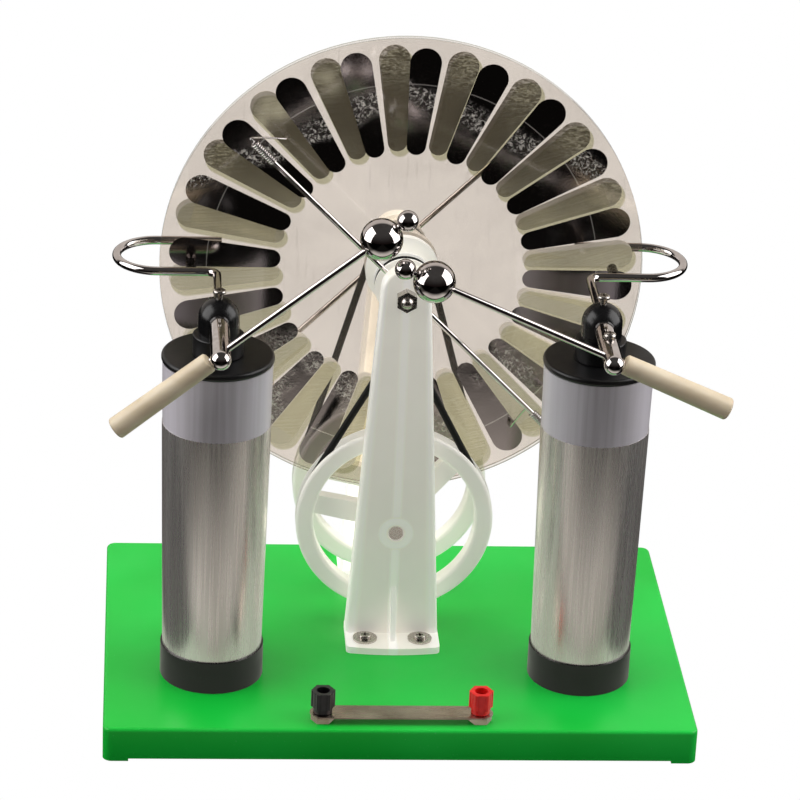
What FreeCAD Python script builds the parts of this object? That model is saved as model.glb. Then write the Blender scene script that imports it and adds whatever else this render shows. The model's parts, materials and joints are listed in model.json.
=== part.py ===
"""Wimshurst influence machine: two contra-rotating discs, two Leyden jars, spark arms and a hand crank.

All lengths are in millimetres. X runs along the base's long side, Y away from its front edge and Z up.
The origin is the centre of the base's underside. The rear post, disc, wheel and neutralizer mirror the
front ones about the middle of the gap between the discs.
"""
import FreeCAD, Part
import math
import os

V = FreeCAD.Vector
X_AXIS, Y_AXIS, Z_AXIS = V(1, 0, 0), V(0, 1, 0), V(0, 0, 1)

# ---- fits and clearances
RUNNING = 0.05          # radial clearance of a shaft in its bore, and of a screw in its thread
FREE_GAP = 0.3          # gap between pieces that move past each other
SCREW_SLACK = 0.2       # radial slack of a through hole
HALF_TURN, FULL_TURN = 180.0, 360.0

# ---- base
BASE_W, BASE_D, BASE_H = 326.0, 225.0, 20.0
BASE_WALL = 2.5
BASE_CORNER_R = 5.0
BASE_EDGE_R = 2.0
PAD_H = 1.5             # corner feet
PAD_LEN = 14.0
RIB_T = 2.0             # stiffening ribs under the top skin
RIB_DEPTH = 7.0
LONG_RIB_Y = 60.0
CROSS_RIB_X = 72.0
CENTRE_FOOT_R = 6.0     # boss under the middle of the top skin

# ---- M4 hardware
SCREW_R = 2.0
SCREW_HEAD_R = 3.5
SCREW_HEAD_H = 1.9
SCREW_REACH = 5.5       # thread left below the base's top skin
DRIVE_SLOT_W = 1.1
DRIVE_SLOT_DEPTH = 1.2
DRIVE_SLOT_SHARE = 0.6  # of the head's radius that a slot's arm reaches
HEAD_ROUND_SHARE = 0.6  # of the head's height that is rounded
WASHER_R = 6.9
WASHER_T = 1.0
NUT_AF = 7.0
NUT_H = 3.2

# ---- discs
DISC_R = 135.0
DISC_T = 1.5
DISC_GAP = 2.0          # between the two discs
DISC_Y = 38.0           # middle of the gap between the discs
DISC_OVER_AXLE = 4.8    # gap between the discs' edge and the drive axle
SECTOR_COUNT = 20
SECTOR_MARGIN = 5.0     # bare edge of the disc outside the sectors
SECTOR_INNER = 68.0     # inner tip, from the axle
SECTOR_TIP_R = 8.7
SECTOR_ROOT_R = 5.35
SECTOR_T = 0.2
FRONT_SECTOR_ANGLE = 14.1
REAR_SECTOR_ANGLE = 4.0

# ---- posts
POST_FACE_Y = -7.5      # outer face of the front post
POST_BASE_HALF_W = 26.5
POST_TOP_R = 13.7
POST_OVER_AXLE = 17.0   # from the disc axle up to the post's top
POST_DEPTH_BASE = 14.0
POST_DEPTH_TOP = 8.8
POST_SKIN = 3.0
POST_WALL = 2.5
POST_EDGE_R = 2.0
POST_RIB_T = 2.6
FOOT_T = 4.0
FOOT_REACH = 19.5       # how far the foot stands out from the post's face, in its middle
FOOT_BOW = 2.5          # how much less it stands out at its corners
FOOT_CORNER_R = 3.0
FOOT_SCREW_X = 15.6
GUSSET_REACH = 10.5
GUSSET_H = 34.0
UPPER_BOSS_R = 7.0
LOWER_BOSS_R = 8.5

# ---- axles
UPPER_AXLE_R = 3.0
UPPER_AXLE_THREAD = 5.0     # thread that stands out of each post
CAP_NUT_AF = 10.6
CAP_NUT_H = 5.9
CAP_NUT_DOME_R = 3.6
CAP_NUT_TURN = 30.0     # puts a corner of the nut at the top
DRIVE_AXLE_R = 4.0
DRIVE_AXLE_Z = 87.2
BEARING_RELIEF_R = 4.7
BEARING_RELIEF_DEPTH = 1.2
SPACER_R = 5.5

# ---- belts, pulleys and drive wheels
BELT_R = 2.0
BELT_Y = 13.6           # plane of the front belt
BELT_BOW = 2.15         # sideways shift of each run where a crossed belt passes itself
PULLEY_PITCH_R = 14.5
PULLEY_FLANGE_R = 16.7
PULLEY_FLANGE_T = 1.5
PULLEY_HUB_R = 11.0
DISC_FLANGE_R = 20.5
DISC_FLANGE_T = 4.0
DISC_NECK_R = 8.0
DISC_NECK_PROUD = 0.3
WHEEL_PITCH_R = 53.0
WHEEL_R = 56.0
WHEEL_RIM_IN = 46.0
WHEEL_W = 12.0
WHEEL_EDGE_R = 2.0
WHEEL_HUB_R = 12.0
WHEEL_HUB_BACK = 6.5    # hub that stands out behind the rim
SPOKE_COUNT = 3
SPOKE_W_HUB, SPOKE_W_RIM = 13.0, 11.0
SPOKE_T = 7.0
SPOKE_ANGLE = 48.0
GROOVE_FLARE = 1.4
PIN_R = 1.5
PIN_INSET = 3.2         # pin's centre from the end of its hub

# ---- crank
CRANK_THROW = 50.0
CRANK_HUB_R = 9.0
CRANK_ARM_W = 13.0
CRANK_ARM_T = 5.0
CRANK_EYE_R = 7.0
GRIP_L = 44.0
GRIP_R = 7.5
GRIP_END_R = 5.6
GRIP_FULL_SHARE = 0.6   # of the grip's length at which it is thickest
GRIP_PIN_R = 2.5
GRIP_PIN_HEAD_R = 4.2
GRIP_PIN_HEAD_T = 2.0

# ---- neutralizers
NEUTRAL_ANGLE = 135.3   # of the front rod, from +X towards +Z
NEUTRAL_ROD_R = 1.5
NEUTRAL_REACH = 119.0
NEUTRAL_HUB_R = 6.5
NEUTRAL_HUB_L = 6.0
COIL_AT_R = 104.0       # inner end of the coil, from the disc axle
COIL_WIRE_R = 0.45
COIL_PITCH = 1.15
COIL_TURNS = 14
UPPER_TUFT_AT_R = 103.0     # from the disc axle
UPPER_TUFT_ANGLE = 130.5
LOWER_TUFT_AT_R = 114.0
LOWER_TUFT_ANGLE = -55.0
TUFT_L = 5.0
TUFT_R = 2.2

# ---- Leyden jars
JAR_X, JAR_Y = 103.3, -44.5
JAR_RING_R = 28.7
JAR_RING_H = 18.7
CUP_BASE_R = 27.1
CUP_TOP_R = 30.0
CUP_WALL = 2.0
CUP_FLOOR = 3.0
FOIL_T = 0.25
FOIL_TOP_Z = 173.3
LID_R = 30.6
LID_T = 4.0
LID_EDGE_R = 1.6
LID_PLUG_DEPTH = 6.0
COLLAR_R = 14.0
COLLAR_H = 11.5
DOME_R = 11.1
HEAD_OVER_AXLE = 3.5    # collectors and spark arms, above the disc axle
HEAD_OVER_CUP = 25.0
DOME_SCREW_R = 1.9
DOME_SCREW_PROUD = 3.0
CONTACT_ROD_R = 1.6
CONTACT_ROD_END = 60.0  # height of its lower end
CONTACT_LEAF_W = 6.0
CONTACT_LEAF_T = 0.8
STRIP_W = 8.0
STRIP_T = 0.6

# ---- collectors
TUBE_R = 2.45
COLLECTOR_FRONT_Y = 18.6    # plane of the leg in front of the discs
COLLECTOR_BACK_Y = 63.8     # plane of the leg behind them
COLLECTOR_PAST_DISC = 23.7  # from the discs' edge to the bend's outermost point
COLLECTOR_ELBOW_R = 6.0
COLLECTOR_TAIL_X = 100.0
TUBE_SEAT = 7.0
COMB_X = 117.5
COMB_R = 2.8
COMB_CLEAR = 0.6        # from the comb's tip to the sectors
COMB_SEAT_SHARE = 0.75  # of the tube's radius at which the comb's root starts

# ---- spark arms
HOLDER_R = 5.55
HOLDER_SPIGOT_R = 4.0
HOLDER_SPIGOT_L = 8.0
HOLDER_GROOVE = 0.9
ARM_Y = -93.5           # plane of the two spark rods
HOLDER_END_Y = -101.3   # centre of its rounded end
LEFT_ARM_ANGLE = 38.8
RIGHT_ARM_ANGLE = 156.1
ARM_ROD_R = 1.75
BIG_BALL_R = 11.2
BIG_BALL_AT = 105.2     # along the rod, from the holder
SMALL_BALL_R = 5.6
HANDLE_R = 5.5
HANDLE_END_R = 6.2
HANDLE_START = 7.3
HANDLE_L = 62.8
HANDLE_BORE_L = 45.0
HANDLE_EDGE_R = 1.2
CLAMP_SCREW_Y = -78.0
CLAMP_SCREW_R = 1.5
CLAMP_HEAD_R = 3.4
CLAMP_HEAD_H = 3.0

# ---- terminals
TERMINAL_X = 43.3
TERMINAL_INSET = 12.0   # from the base's front edge
TERMINAL_NUT_AF = 11.2
TERMINAL_NUT_H = 4.0
STRAP_W = 14.0
STRAP_T = 0.8
STRAP_SLOT_SLACK = 0.8
CAP_NECK_R = 5.2
CAP_NECK_H = 3.4
CAP_H = 13.0
CAP_R = 5.9
CAP_LOBES = 6
CAP_LOBE_R = 1.5
CAP_SOCKET_R = 3.6
CAP_SOCKET_DEPTH = 5.5
INSERT_R = 3.1

# ---- places that follow from the sizes above
SKIN_UNDER = BASE_H - BASE_WALL
FOOT_TOP = BASE_H + FOOT_T
DISC_Z = DRIVE_AXLE_Z + DRIVE_AXLE_R + DISC_OVER_AXLE + DISC_R
POST_TOP_Z = DISC_Z + POST_OVER_AXLE
HEAD_Z = DISC_Z + HEAD_OVER_AXLE
CUP_TOP_Z = HEAD_Z - HEAD_OVER_CUP
FRONT_DISC_Y = DISC_Y - DISC_GAP / 2 - DISC_T   # front face of the front disc
REAR_DISC_Y = 2 * DISC_Y - FRONT_DISC_Y         # back face of the rear disc
SPACER_T = DISC_GAP - 2 * (DISC_NECK_PROUD + FREE_GAP)
SECTOR_OUTER = DISC_R - SECTOR_MARGIN
COLLECTOR_BEND_R = (COLLECTOR_BACK_Y - COLLECTOR_FRONT_Y) / 2
COLLECTOR_BEND_X = DISC_R + COLLECTOR_PAST_DISC - COLLECTOR_BEND_R
TERMINAL_Y = TERMINAL_INSET - BASE_D / 2
SCREW_Y = POST_FACE_Y - WASHER_R - FREE_GAP
CRANK_HUB_L = GUSSET_REACH + CRANK_ARM_T    # the arm swings clear of the rear post's gusset
SMALL_BALL_AT = BIG_BALL_AT + BIG_BALL_R + SMALL_BALL_R + RUNNING


# ---- general shapes
def cylinder(radius, length, start, direction=Z_AXIS):
    return Part.makeCylinder(radius, length, start, direction)


def rod_between(radius, start, end):
    return Part.makeCylinder(radius, (end - start).Length, start, end - start)


def box(low, high):
    size = high - low
    return Part.makeBox(size.x, size.y, size.z, low)


def polygon(points):
    return Part.Face(Part.makePolygon(points + points[:1]))


def turned(profile, axis_point, axis):
    """Solid of revolution of a closed list of points."""
    return polygon(profile).revolve(axis_point, axis, FULL_TURN)


def turned_y(profile, axis_z, axis_x=0.0):
    """Solid of revolution about a line along Y; the profile is a list of (radius, y)."""
    points = [V(axis_x + radius, y, axis_z) for radius, y in profile]
    return turned(points, V(axis_x, 0, axis_z), Y_AXIS)


def hexagon(across_flats, height, centre, direction=Z_AXIS):
    corner = across_flats / math.sqrt(3)
    points = [V(corner * math.cos(i * math.pi / 3), corner * math.sin(i * math.pi / 3), 0) for i in range(6)]
    solid = polygon(points).extrude(V(0, 0, height))
    solid.Placement = FreeCAD.Placement(centre, FreeCAD.Rotation(Z_AXIS, direction))
    return solid


def bent_rod(radius, points):
    """Round bar along straight runs, with a ball at each bend."""
    pieces = [rod_between(radius, a, b) for a, b in zip(points, points[1:])]
    pieces += [Part.makeSphere(radius, p) for p in points[1:-1]]
    return pieces[0].multiFuse(pieces[1:]).removeSplitter()


def tube_along(radius, edges, start, direction):
    """Round bar swept along tangent lines and arcs."""
    section = Part.Wire(Part.Edge(Part.Circle(start, direction, radius)))
    return Part.Wire(edges).makePipeShell([section], True, False)


def edges_where(shape, test):
    return [edge for edge in shape.Edges if test(edge)]


def is_circle(edge, radius):
    return isinstance(edge.Curve, Part.Circle) and abs(edge.Curve.Radius - radius) < 1e-6


def round_circles(shape, radius, fillet):
    return shape.makeFillet(fillet, edges_where(shape, lambda edge: is_circle(edge, radius)))


def mirrored(shape):
    """The same piece behind the gap between the discs."""
    return shape.mirror(V(0, DISC_Y, 0), Y_AXIS)


def other_side(shape):
    """The same piece on the right of the machine."""
    return shape.mirror(V(0, 0, 0), X_AXIS)


def polar(radius, degrees, y):
    """Point at a radius and angle around the disc axle."""
    angle = math.radians(degrees)
    return V(radius * math.cos(angle), y, DISC_Z + radius * math.sin(angle))


# ---- base and its hardware
def rounded_block(width, depth, low, high, corner):
    block = box(V(-width / 2, -depth / 2, low), V(width / 2, depth / 2, high))
    upright = edges_where(block, lambda edge: abs(edge.tangentAt(0).z) > 0.9)
    return block.makeFillet(corner, upright)


def screw_places():
    """Centres of the six M4 screws, with the height that each head sits at."""
    places = [V(x, SCREW_Y, FOOT_TOP + WASHER_T) for x in (-FOOT_SCREW_X, FOOT_SCREW_X)]
    places += [V(p.x, 2 * DISC_Y - p.y, p.z) for p in places]
    return places + [V(x, JAR_Y, BASE_H + CUP_FLOOR) for x in (-JAR_X, JAR_X)]


def terminal_places():
    return [V(x, TERMINAL_Y, BASE_H) for x in (-TERMINAL_X, TERMINAL_X)]


def base():
    block = rounded_block(BASE_W, BASE_D, 0, BASE_H, BASE_CORNER_R)
    top = edges_where(block, lambda edge: edge.BoundBox.ZMin > BASE_H - 1e-3)
    block = block.makeFillet(BASE_EDGE_R, top)
    inner_w, inner_d = BASE_W - 2 * BASE_WALL, BASE_D - 2 * BASE_WALL
    block = block.cut(rounded_block(inner_w, inner_d, -1, SKIN_UNDER, BASE_CORNER_R - BASE_WALL))
    between = BASE_W / 2 - PAD_LEN
    block = block.cut(box(V(-between, -BASE_D, -1), V(between, BASE_D, PAD_H)))
    between = BASE_D / 2 - PAD_LEN
    block = block.cut(box(V(-BASE_W, -between, -1), V(BASE_W, between, PAD_H)))
    ribs = []
    for sign in (-1, 1):
        y, x = sign * LONG_RIB_Y, sign * CROSS_RIB_X
        low, high = SKIN_UNDER - RIB_DEPTH, SKIN_UNDER
        ribs.append(box(V(-inner_w / 2, y - RIB_T / 2, low), V(inner_w / 2, y + RIB_T / 2, high)))
        ribs.append(box(V(x - RIB_T / 2, -inner_d / 2, low), V(x + RIB_T / 2, inner_d / 2, high)))
    block = block.multiFuse(ribs + [cylinder(CENTRE_FOOT_R, SKIN_UNDER, V(0, 0, 0))])
    for strip in (contact_strip(), other_side(contact_strip())):
        block = block.cut(strip.makeOffsetShape(FREE_GAP, 1e-3))
    holes = [cylinder(SCREW_R + SCREW_SLACK, BASE_H, V(p.x, p.y, 0)) for p in screw_places() + terminal_places()]
    return block.cut(Part.makeCompound(holes)).removeSplitter()


def screw(place):
    """Pan-head screw with a cross slot; its head sits on the given place."""
    end = SKIN_UNDER - SCREW_REACH
    shank = cylinder(SCREW_R - RUNNING, place.z - end, V(place.x, place.y, end))
    return shank.fuse(pan_head(SCREW_HEAD_R, SCREW_HEAD_H, place)).removeSplitter()


def pan_head(radius, height, place):
    head = cylinder(radius, height, place)
    top = edges_where(head, lambda edge: edge.BoundBox.ZMin > place.z + height - 1e-3)
    head = head.makeFillet(height * HEAD_ROUND_SHARE, top)
    half = DRIVE_SLOT_W / 2
    arm = radius * DRIVE_SLOT_SHARE
    low, high = place.z + height - DRIVE_SLOT_DEPTH, place.z + height + 1
    head = head.cut(box(V(place.x - arm, place.y - half, low), V(place.x + arm, place.y + half, high)))
    return head.cut(box(V(place.x - half, place.y - arm, low), V(place.x + half, place.y + arm, high)))


def washer(place):
    low = V(place.x, place.y, place.z - WASHER_T)
    return cylinder(WASHER_R, WASHER_T, low).cut(cylinder(SCREW_R + SCREW_SLACK, WASHER_T, low))


def nut(place, top):
    low = V(place.x, place.y, top - NUT_H)
    return hexagon(NUT_AF, NUT_H, low).cut(cylinder(SCREW_R, NUT_H, low))


def base_nuts():
    posts, jars = screw_places()[:4], screw_places()[4:]
    under_strip = SKIN_UNDER - STRIP_T
    return [nut(p, SKIN_UNDER) for p in posts] + [nut(p, under_strip) for p in jars + terminal_places()]


def contact_strip():
    """Flat strip under the base, from the left jar's screw to the left terminal."""
    start = V(-JAR_X, JAR_Y, SKIN_UNDER - STRIP_T)
    end = V(-TERMINAL_X, TERMINAL_Y, SKIN_UNDER - STRIP_T)
    run = end - start
    bar = box(V(0, -STRIP_W / 2, 0), V(run.Length, STRIP_W / 2, STRIP_T))
    bar.Placement = FreeCAD.Placement(start, FreeCAD.Rotation(X_AXIS, run))
    ends = [cylinder(STRIP_W / 2, STRIP_T, p) for p in (start, end)]
    holes = [cylinder(SCREW_R + SCREW_SLACK, STRIP_T, p) for p in (start, end)]
    return bar.multiFuse(ends).removeSplitter().cut(Part.makeCompound(holes))


# ---- posts
def post_inner_y(z):
    """Inner face of the front post at a height; the post is deeper at its foot."""
    share = (z - BASE_H) / (POST_TOP_Z - BASE_H)
    return POST_FACE_Y + POST_DEPTH_BASE + (POST_DEPTH_TOP - POST_DEPTH_BASE) * share


def post_outline(inset, low, y):
    """Tapered upright with a round top, as a face in the plane of the given y."""
    radius = POST_TOP_R - inset
    half = POST_BASE_HALF_W - inset
    centre_z = POST_TOP_Z - POST_TOP_R
    slant = math.hypot(half, centre_z - low)
    angle = math.atan2(centre_z - low, half) - math.acos(radius / slant)
    tangent = V(radius * math.cos(angle), y, centre_z - radius * math.sin(angle))
    left = V(-tangent.x, y, tangent.z)
    corner, left_corner = V(half, y, low), V(-half, y, low)
    edges = [
        Part.LineSegment(left_corner, corner).toShape(),
        Part.LineSegment(corner, tangent).toShape(),
        Part.Arc(tangent, V(0, y, centre_z + radius), left).toShape(),
        Part.LineSegment(left, left_corner).toShape(),
    ]
    return Part.Face(Part.Wire(edges))


def post_foot():
    half = POST_BASE_HALF_W
    front, corner = POST_FACE_Y - FOOT_REACH, POST_FACE_Y - FOOT_REACH + FOOT_BOW
    back = post_inner_y(BASE_H)
    edges = [
        Part.LineSegment(V(-half, back, BASE_H), V(-half, corner, BASE_H)).toShape(),
        Part.Arc(V(-half, corner, BASE_H), V(0, front, BASE_H), V(half, corner, BASE_H)).toShape(),
        Part.LineSegment(V(half, corner, BASE_H), V(half, back, BASE_H)).toShape(),
        Part.LineSegment(V(half, back, BASE_H), V(-half, back, BASE_H)).toShape(),
    ]
    plate = Part.Face(Part.Wire(edges)).extrude(V(0, 0, FOOT_T))
    upright = edges_where(plate, lambda e: abs(e.tangentAt(e.FirstParameter).z) > 0.9 and e.BoundBox.YMax < 0)
    return plate.makeFillet(FOOT_CORNER_R, upright)


def front_post():
    deep = POST_DEPTH_BASE
    upright = post_outline(0, BASE_H, POST_FACE_Y).extrude(V(0, deep, 0))
    face_edges = edges_where(upright, lambda e: e.BoundBox.YMax < POST_FACE_Y + 1e-3 and e.BoundBox.ZMax > FOOT_TOP)
    upright = upright.makeFillet(POST_EDGE_R, face_edges)
    pocket = post_outline(POST_WALL, FOOT_TOP, POST_FACE_Y + POST_SKIN).extrude(V(0, deep, 0))
    rib = box(V(-POST_RIB_T / 2, POST_FACE_Y, BASE_H), V(POST_RIB_T / 2, POST_FACE_Y + deep, POST_TOP_Z))
    bosses = [
        cylinder(UPPER_BOSS_R, deep, V(0, POST_FACE_Y, DISC_Z), Y_AXIS),
        cylinder(LOWER_BOSS_R, deep, V(0, POST_FACE_Y, DRIVE_AXLE_Z), Y_AXIS),
    ]
    upright = upright.cut(pocket.cut(rib.multiFuse(bosses)))
    beyond = POST_FACE_Y + 2 * deep
    slanted = [
        V(0, post_inner_y(BASE_H), BASE_H),
        V(0, beyond, BASE_H),
        V(0, beyond, POST_TOP_Z),
        V(0, post_inner_y(POST_TOP_Z), POST_TOP_Z),
    ]
    wedge = polygon(slanted).extrude(V(2 * POST_BASE_HALF_W, 0, 0))
    wedge.translate(V(-POST_BASE_HALF_W, 0, 0))
    gusset = polygon([
        V(0, POST_FACE_Y - GUSSET_REACH, FOOT_TOP),
        V(0, POST_FACE_Y + POST_SKIN / 2, FOOT_TOP),
        V(0, POST_FACE_Y + POST_SKIN / 2, FOOT_TOP + GUSSET_H),
    ]).extrude(V(POST_RIB_T, 0, 0))
    gusset.translate(V(-POST_RIB_T / 2, 0, 0))
    post = upright.cut(wedge).multiFuse([post_foot(), gusset]).removeSplitter()
    through = 2 * (deep + FOOT_REACH)
    low_y = POST_FACE_Y - FOOT_REACH
    bores = [
        cylinder(UPPER_AXLE_R + RUNNING, through, V(0, low_y, DISC_Z), Y_AXIS),
        cylinder(DRIVE_AXLE_R + RUNNING, through, V(0, low_y, DRIVE_AXLE_Z), Y_AXIS),
        cylinder(BEARING_RELIEF_R, BEARING_RELIEF_DEPTH, V(0, POST_FACE_Y, DRIVE_AXLE_Z), Y_AXIS),
    ]
    bores += [cylinder(SCREW_R + SCREW_SLACK, FOOT_T, V(p.x, p.y, BASE_H)) for p in screw_places()[:2]]
    return post.cut(Part.makeCompound(bores))


# ---- axles
def upper_axle():
    start = POST_FACE_Y - UPPER_AXLE_THREAD
    return cylinder(UPPER_AXLE_R, 2 * (DISC_Y - start), V(0, start, DISC_Z), Y_AXIS)


def cap_nut():
    """Domed nut on the front end of the disc axle."""
    seat = V(0, POST_FACE_Y, DISC_Z)
    away = V(0, -1, 0)
    dome = Part.makeSphere(CAP_NUT_DOME_R, seat + away * CAP_NUT_H)
    solid = hexagon(CAP_NUT_AF, CAP_NUT_H, seat, away)
    solid.rotate(seat, away, CAP_NUT_TURN)
    solid = solid.fuse(dome)
    bore = cylinder(UPPER_AXLE_R + RUNNING, UPPER_AXLE_THREAD + RUNNING, seat, away)
    return solid.cut(bore)


def disc_spacer():
    start = V(0, DISC_Y - SPACER_T / 2, DISC_Z)
    ring = cylinder(SPACER_R, SPACER_T, start, Y_AXIS)
    return ring.cut(cylinder(UPPER_AXLE_R + RUNNING, SPACER_T, start, Y_AXIS))


def drive_axle():
    start = POST_FACE_Y + BEARING_RELIEF_DEPTH / 4
    end = crank_hub_start() + CRANK_HUB_L
    bar = cylinder(DRIVE_AXLE_R, end - start, V(0, start, DRIVE_AXLE_Z), Y_AXIS)
    holes = [cylinder(PIN_R + RUNNING, 2 * DRIVE_AXLE_R, V(0, y, DRIVE_AXLE_Z - DRIVE_AXLE_R)) for y in pin_places()]
    return bar.cut(Part.makeCompound(holes))


# ---- discs
def front_disc():
    start = V(0, FRONT_DISC_Y, DISC_Z)
    plate = cylinder(DISC_R, DISC_T, start, Y_AXIS)
    return plate.cut(cylinder(DISC_NECK_R + RUNNING, DISC_T, start, Y_AXIS))


def sector(angle):
    """Drop-shaped foil on the front face of the front disc."""
    outer, inner = SECTOR_OUTER - SECTOR_TIP_R, SECTOR_INNER + SECTOR_ROOT_R
    lean = math.degrees(math.asin((SECTOR_TIP_R - SECTOR_ROOT_R) / (outer - inner)))
    face_y = FRONT_DISC_Y - SECTOR_T

    def on_circle(centre, radius, turn):
        place = polar(centre, angle, face_y)
        side = math.radians(angle + turn)
        return place + V(radius * math.cos(side), 0, radius * math.sin(side))

    turn = 90 + lean
    tip = [on_circle(outer, SECTOR_TIP_R, a) for a in (-turn, 0, turn)]
    root = [on_circle(inner, SECTOR_ROOT_R, a) for a in (turn, HALF_TURN, -turn)]
    edges = [
        Part.Arc(*tip).toShape(),
        Part.LineSegment(tip[2], root[0]).toShape(),
        Part.Arc(*root).toShape(),
        Part.LineSegment(root[2], tip[0]).toShape(),
    ]
    return Part.Face(Part.Wire(edges)).extrude(V(0, SECTOR_T, 0))


def sectors(first_angle):
    step = FULL_TURN / SECTOR_COUNT
    return [sector(first_angle + i * step) for i in range(SECTOR_COUNT)]


def groove(pitch_radius, rim_radius):
    """Sides of a belt groove, as (radius, y), from its front lip to its back lip."""
    floor = pitch_radius - BELT_R - FREE_GAP
    half = BELT_R + FREE_GAP
    lip = half + GROOVE_FLARE
    return [(rim_radius, BELT_Y - lip), (floor, BELT_Y - half), (floor, BELT_Y + half), (rim_radius, BELT_Y + lip)]


def front_pulley():
    lip = BELT_R + FREE_GAP + GROOVE_FLARE
    start = BELT_Y - lip - PULLEY_FLANGE_T
    back = BELT_Y + lip + PULLEY_FLANGE_T
    disc_front = FRONT_DISC_Y
    disc_back = FRONT_DISC_Y + DISC_T
    bore = UPPER_AXLE_R + RUNNING
    profile = [(bore, start), (PULLEY_FLANGE_R, start)]
    profile += groove(PULLEY_PITCH_R, PULLEY_FLANGE_R)
    profile += [(PULLEY_FLANGE_R, back), (PULLEY_HUB_R, back)]
    profile += [(PULLEY_HUB_R, disc_front - DISC_FLANGE_T), (DISC_FLANGE_R, disc_front - DISC_FLANGE_T)]
    profile += [(DISC_FLANGE_R, disc_front), (DISC_NECK_R, disc_front)]
    profile += [(DISC_NECK_R, disc_back + DISC_NECK_PROUD), (bore, disc_back + DISC_NECK_PROUD)]
    return turned_y(profile, DISC_Z)


# ---- drive wheels and crank
def wheel_front_y():
    return BELT_Y - WHEEL_W / 2


def wheel_hub_start():
    return post_inner_y(DRIVE_AXLE_Z - WHEEL_HUB_R) + FREE_GAP


def wheel_hub_end():
    return BELT_Y + WHEEL_W / 2 + WHEEL_HUB_BACK


def front_drive_wheel():
    start, end = wheel_front_y(), BELT_Y + WHEEL_W / 2
    profile = [(WHEEL_RIM_IN, start), (WHEEL_R, start)] + groove(WHEEL_PITCH_R, WHEEL_R)
    profile += [(WHEEL_R, end), (WHEEL_RIM_IN, end)]
    rim = turned_y(profile, DRIVE_AXLE_Z)

    def outer_edge(edge):
        side = edge.BoundBox.YMax < start + 1e-3 or edge.BoundBox.YMin > end - 1e-3
        return side and isinstance(edge.Curve, Part.Circle)

    rim = rim.makeFillet(WHEEL_EDGE_R, edges_where(rim, outer_edge))
    centre = V(0, wheel_hub_start(), DRIVE_AXLE_Z)
    hub = cylinder(WHEEL_HUB_R, wheel_hub_end() - wheel_hub_start(), centre, Y_AXIS)
    spokes = []
    reach = (WHEEL_RIM_IN + WHEEL_PITCH_R - BELT_R) / 2
    low = BELT_Y - SPOKE_T / 2
    for i in range(SPOKE_COUNT):
        spoke = polygon([
            V(0, low, -SPOKE_W_HUB / 2), V(reach, low, -SPOKE_W_RIM / 2),
            V(reach, low, SPOKE_W_RIM / 2), V(0, low, SPOKE_W_HUB / 2),
        ]).extrude(V(0, SPOKE_T, 0))
        spoke.rotate(V(0, 0, 0), V(0, -1, 0), SPOKE_ANGLE + i * FULL_TURN / SPOKE_COUNT)
        spoke.translate(V(0, 0, DRIVE_AXLE_Z))
        spokes.append(spoke)
    wheel = rim.multiFuse([hub] + spokes)
    bore = cylinder(DRIVE_AXLE_R + RUNNING, 2 * wheel_hub_end(), V(0, 0, DRIVE_AXLE_Z), Y_AXIS)
    pin_y = wheel_hub_end() - PIN_INSET
    hole = cylinder(PIN_R + RUNNING, 2 * WHEEL_HUB_R, V(0, pin_y, DRIVE_AXLE_Z - WHEEL_HUB_R))
    return wheel.cut(bore).cut(hole).removeSplitter()


def crank_hub_start():
    return 2 * DISC_Y - POST_FACE_Y + FREE_GAP


def pin_places():
    front = wheel_hub_end() - PIN_INSET
    return [front, 2 * DISC_Y - front, crank_hub_start() + CRANK_HUB_L - PIN_INSET]


def wheel_pins():
    """Cross pins that lock both wheels and the crank to their axle."""
    halves = [WHEEL_HUB_R, WHEEL_HUB_R, CRANK_HUB_R]
    return [cylinder(PIN_R, 2 * h, V(0, y, DRIVE_AXLE_Z - h)) for y, h in zip(pin_places(), halves)]


def crank_arm():
    start = crank_hub_start()
    arm_y = start + CRANK_HUB_L - CRANK_ARM_T
    top, bottom = DRIVE_AXLE_Z, DRIVE_AXLE_Z - CRANK_THROW
    half = CRANK_ARM_W / 2
    hub = cylinder(CRANK_HUB_R, CRANK_HUB_L, V(0, start, top), Y_AXIS)
    eye = cylinder(CRANK_EYE_R, CRANK_ARM_T, V(0, arm_y, bottom), Y_AXIS)
    bar = box(V(-half, arm_y, bottom), V(half, arm_y + CRANK_ARM_T, top))
    bore = cylinder(DRIVE_AXLE_R + RUNNING, CRANK_HUB_L, V(0, start, top), Y_AXIS)
    eye_bore = cylinder(GRIP_PIN_R + RUNNING, CRANK_ARM_T, V(0, arm_y, bottom), Y_AXIS)
    hole = cylinder(PIN_R + RUNNING, 2 * CRANK_HUB_R, V(0, pin_places()[2], top - CRANK_HUB_R))
    return hub.multiFuse([eye, bar]).removeSplitter().cut(Part.makeCompound([bore, eye_bore, hole]))


def grip_start():
    return crank_hub_start() + CRANK_HUB_L + FREE_GAP


def crank_grip_pin():
    """Shoulder screw that the grip turns on; its head sits in the grip's end."""
    z = DRIVE_AXLE_Z - CRANK_THROW
    start = grip_start() - FREE_GAP - CRANK_ARM_T
    head_y = grip_start() + GRIP_L - GRIP_PIN_HEAD_T
    shank = cylinder(GRIP_PIN_R, head_y - start, V(0, start, z), Y_AXIS)
    return shank.fuse(cylinder(GRIP_PIN_HEAD_R, GRIP_PIN_HEAD_T, V(0, head_y, z), Y_AXIS)).removeSplitter()


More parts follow.
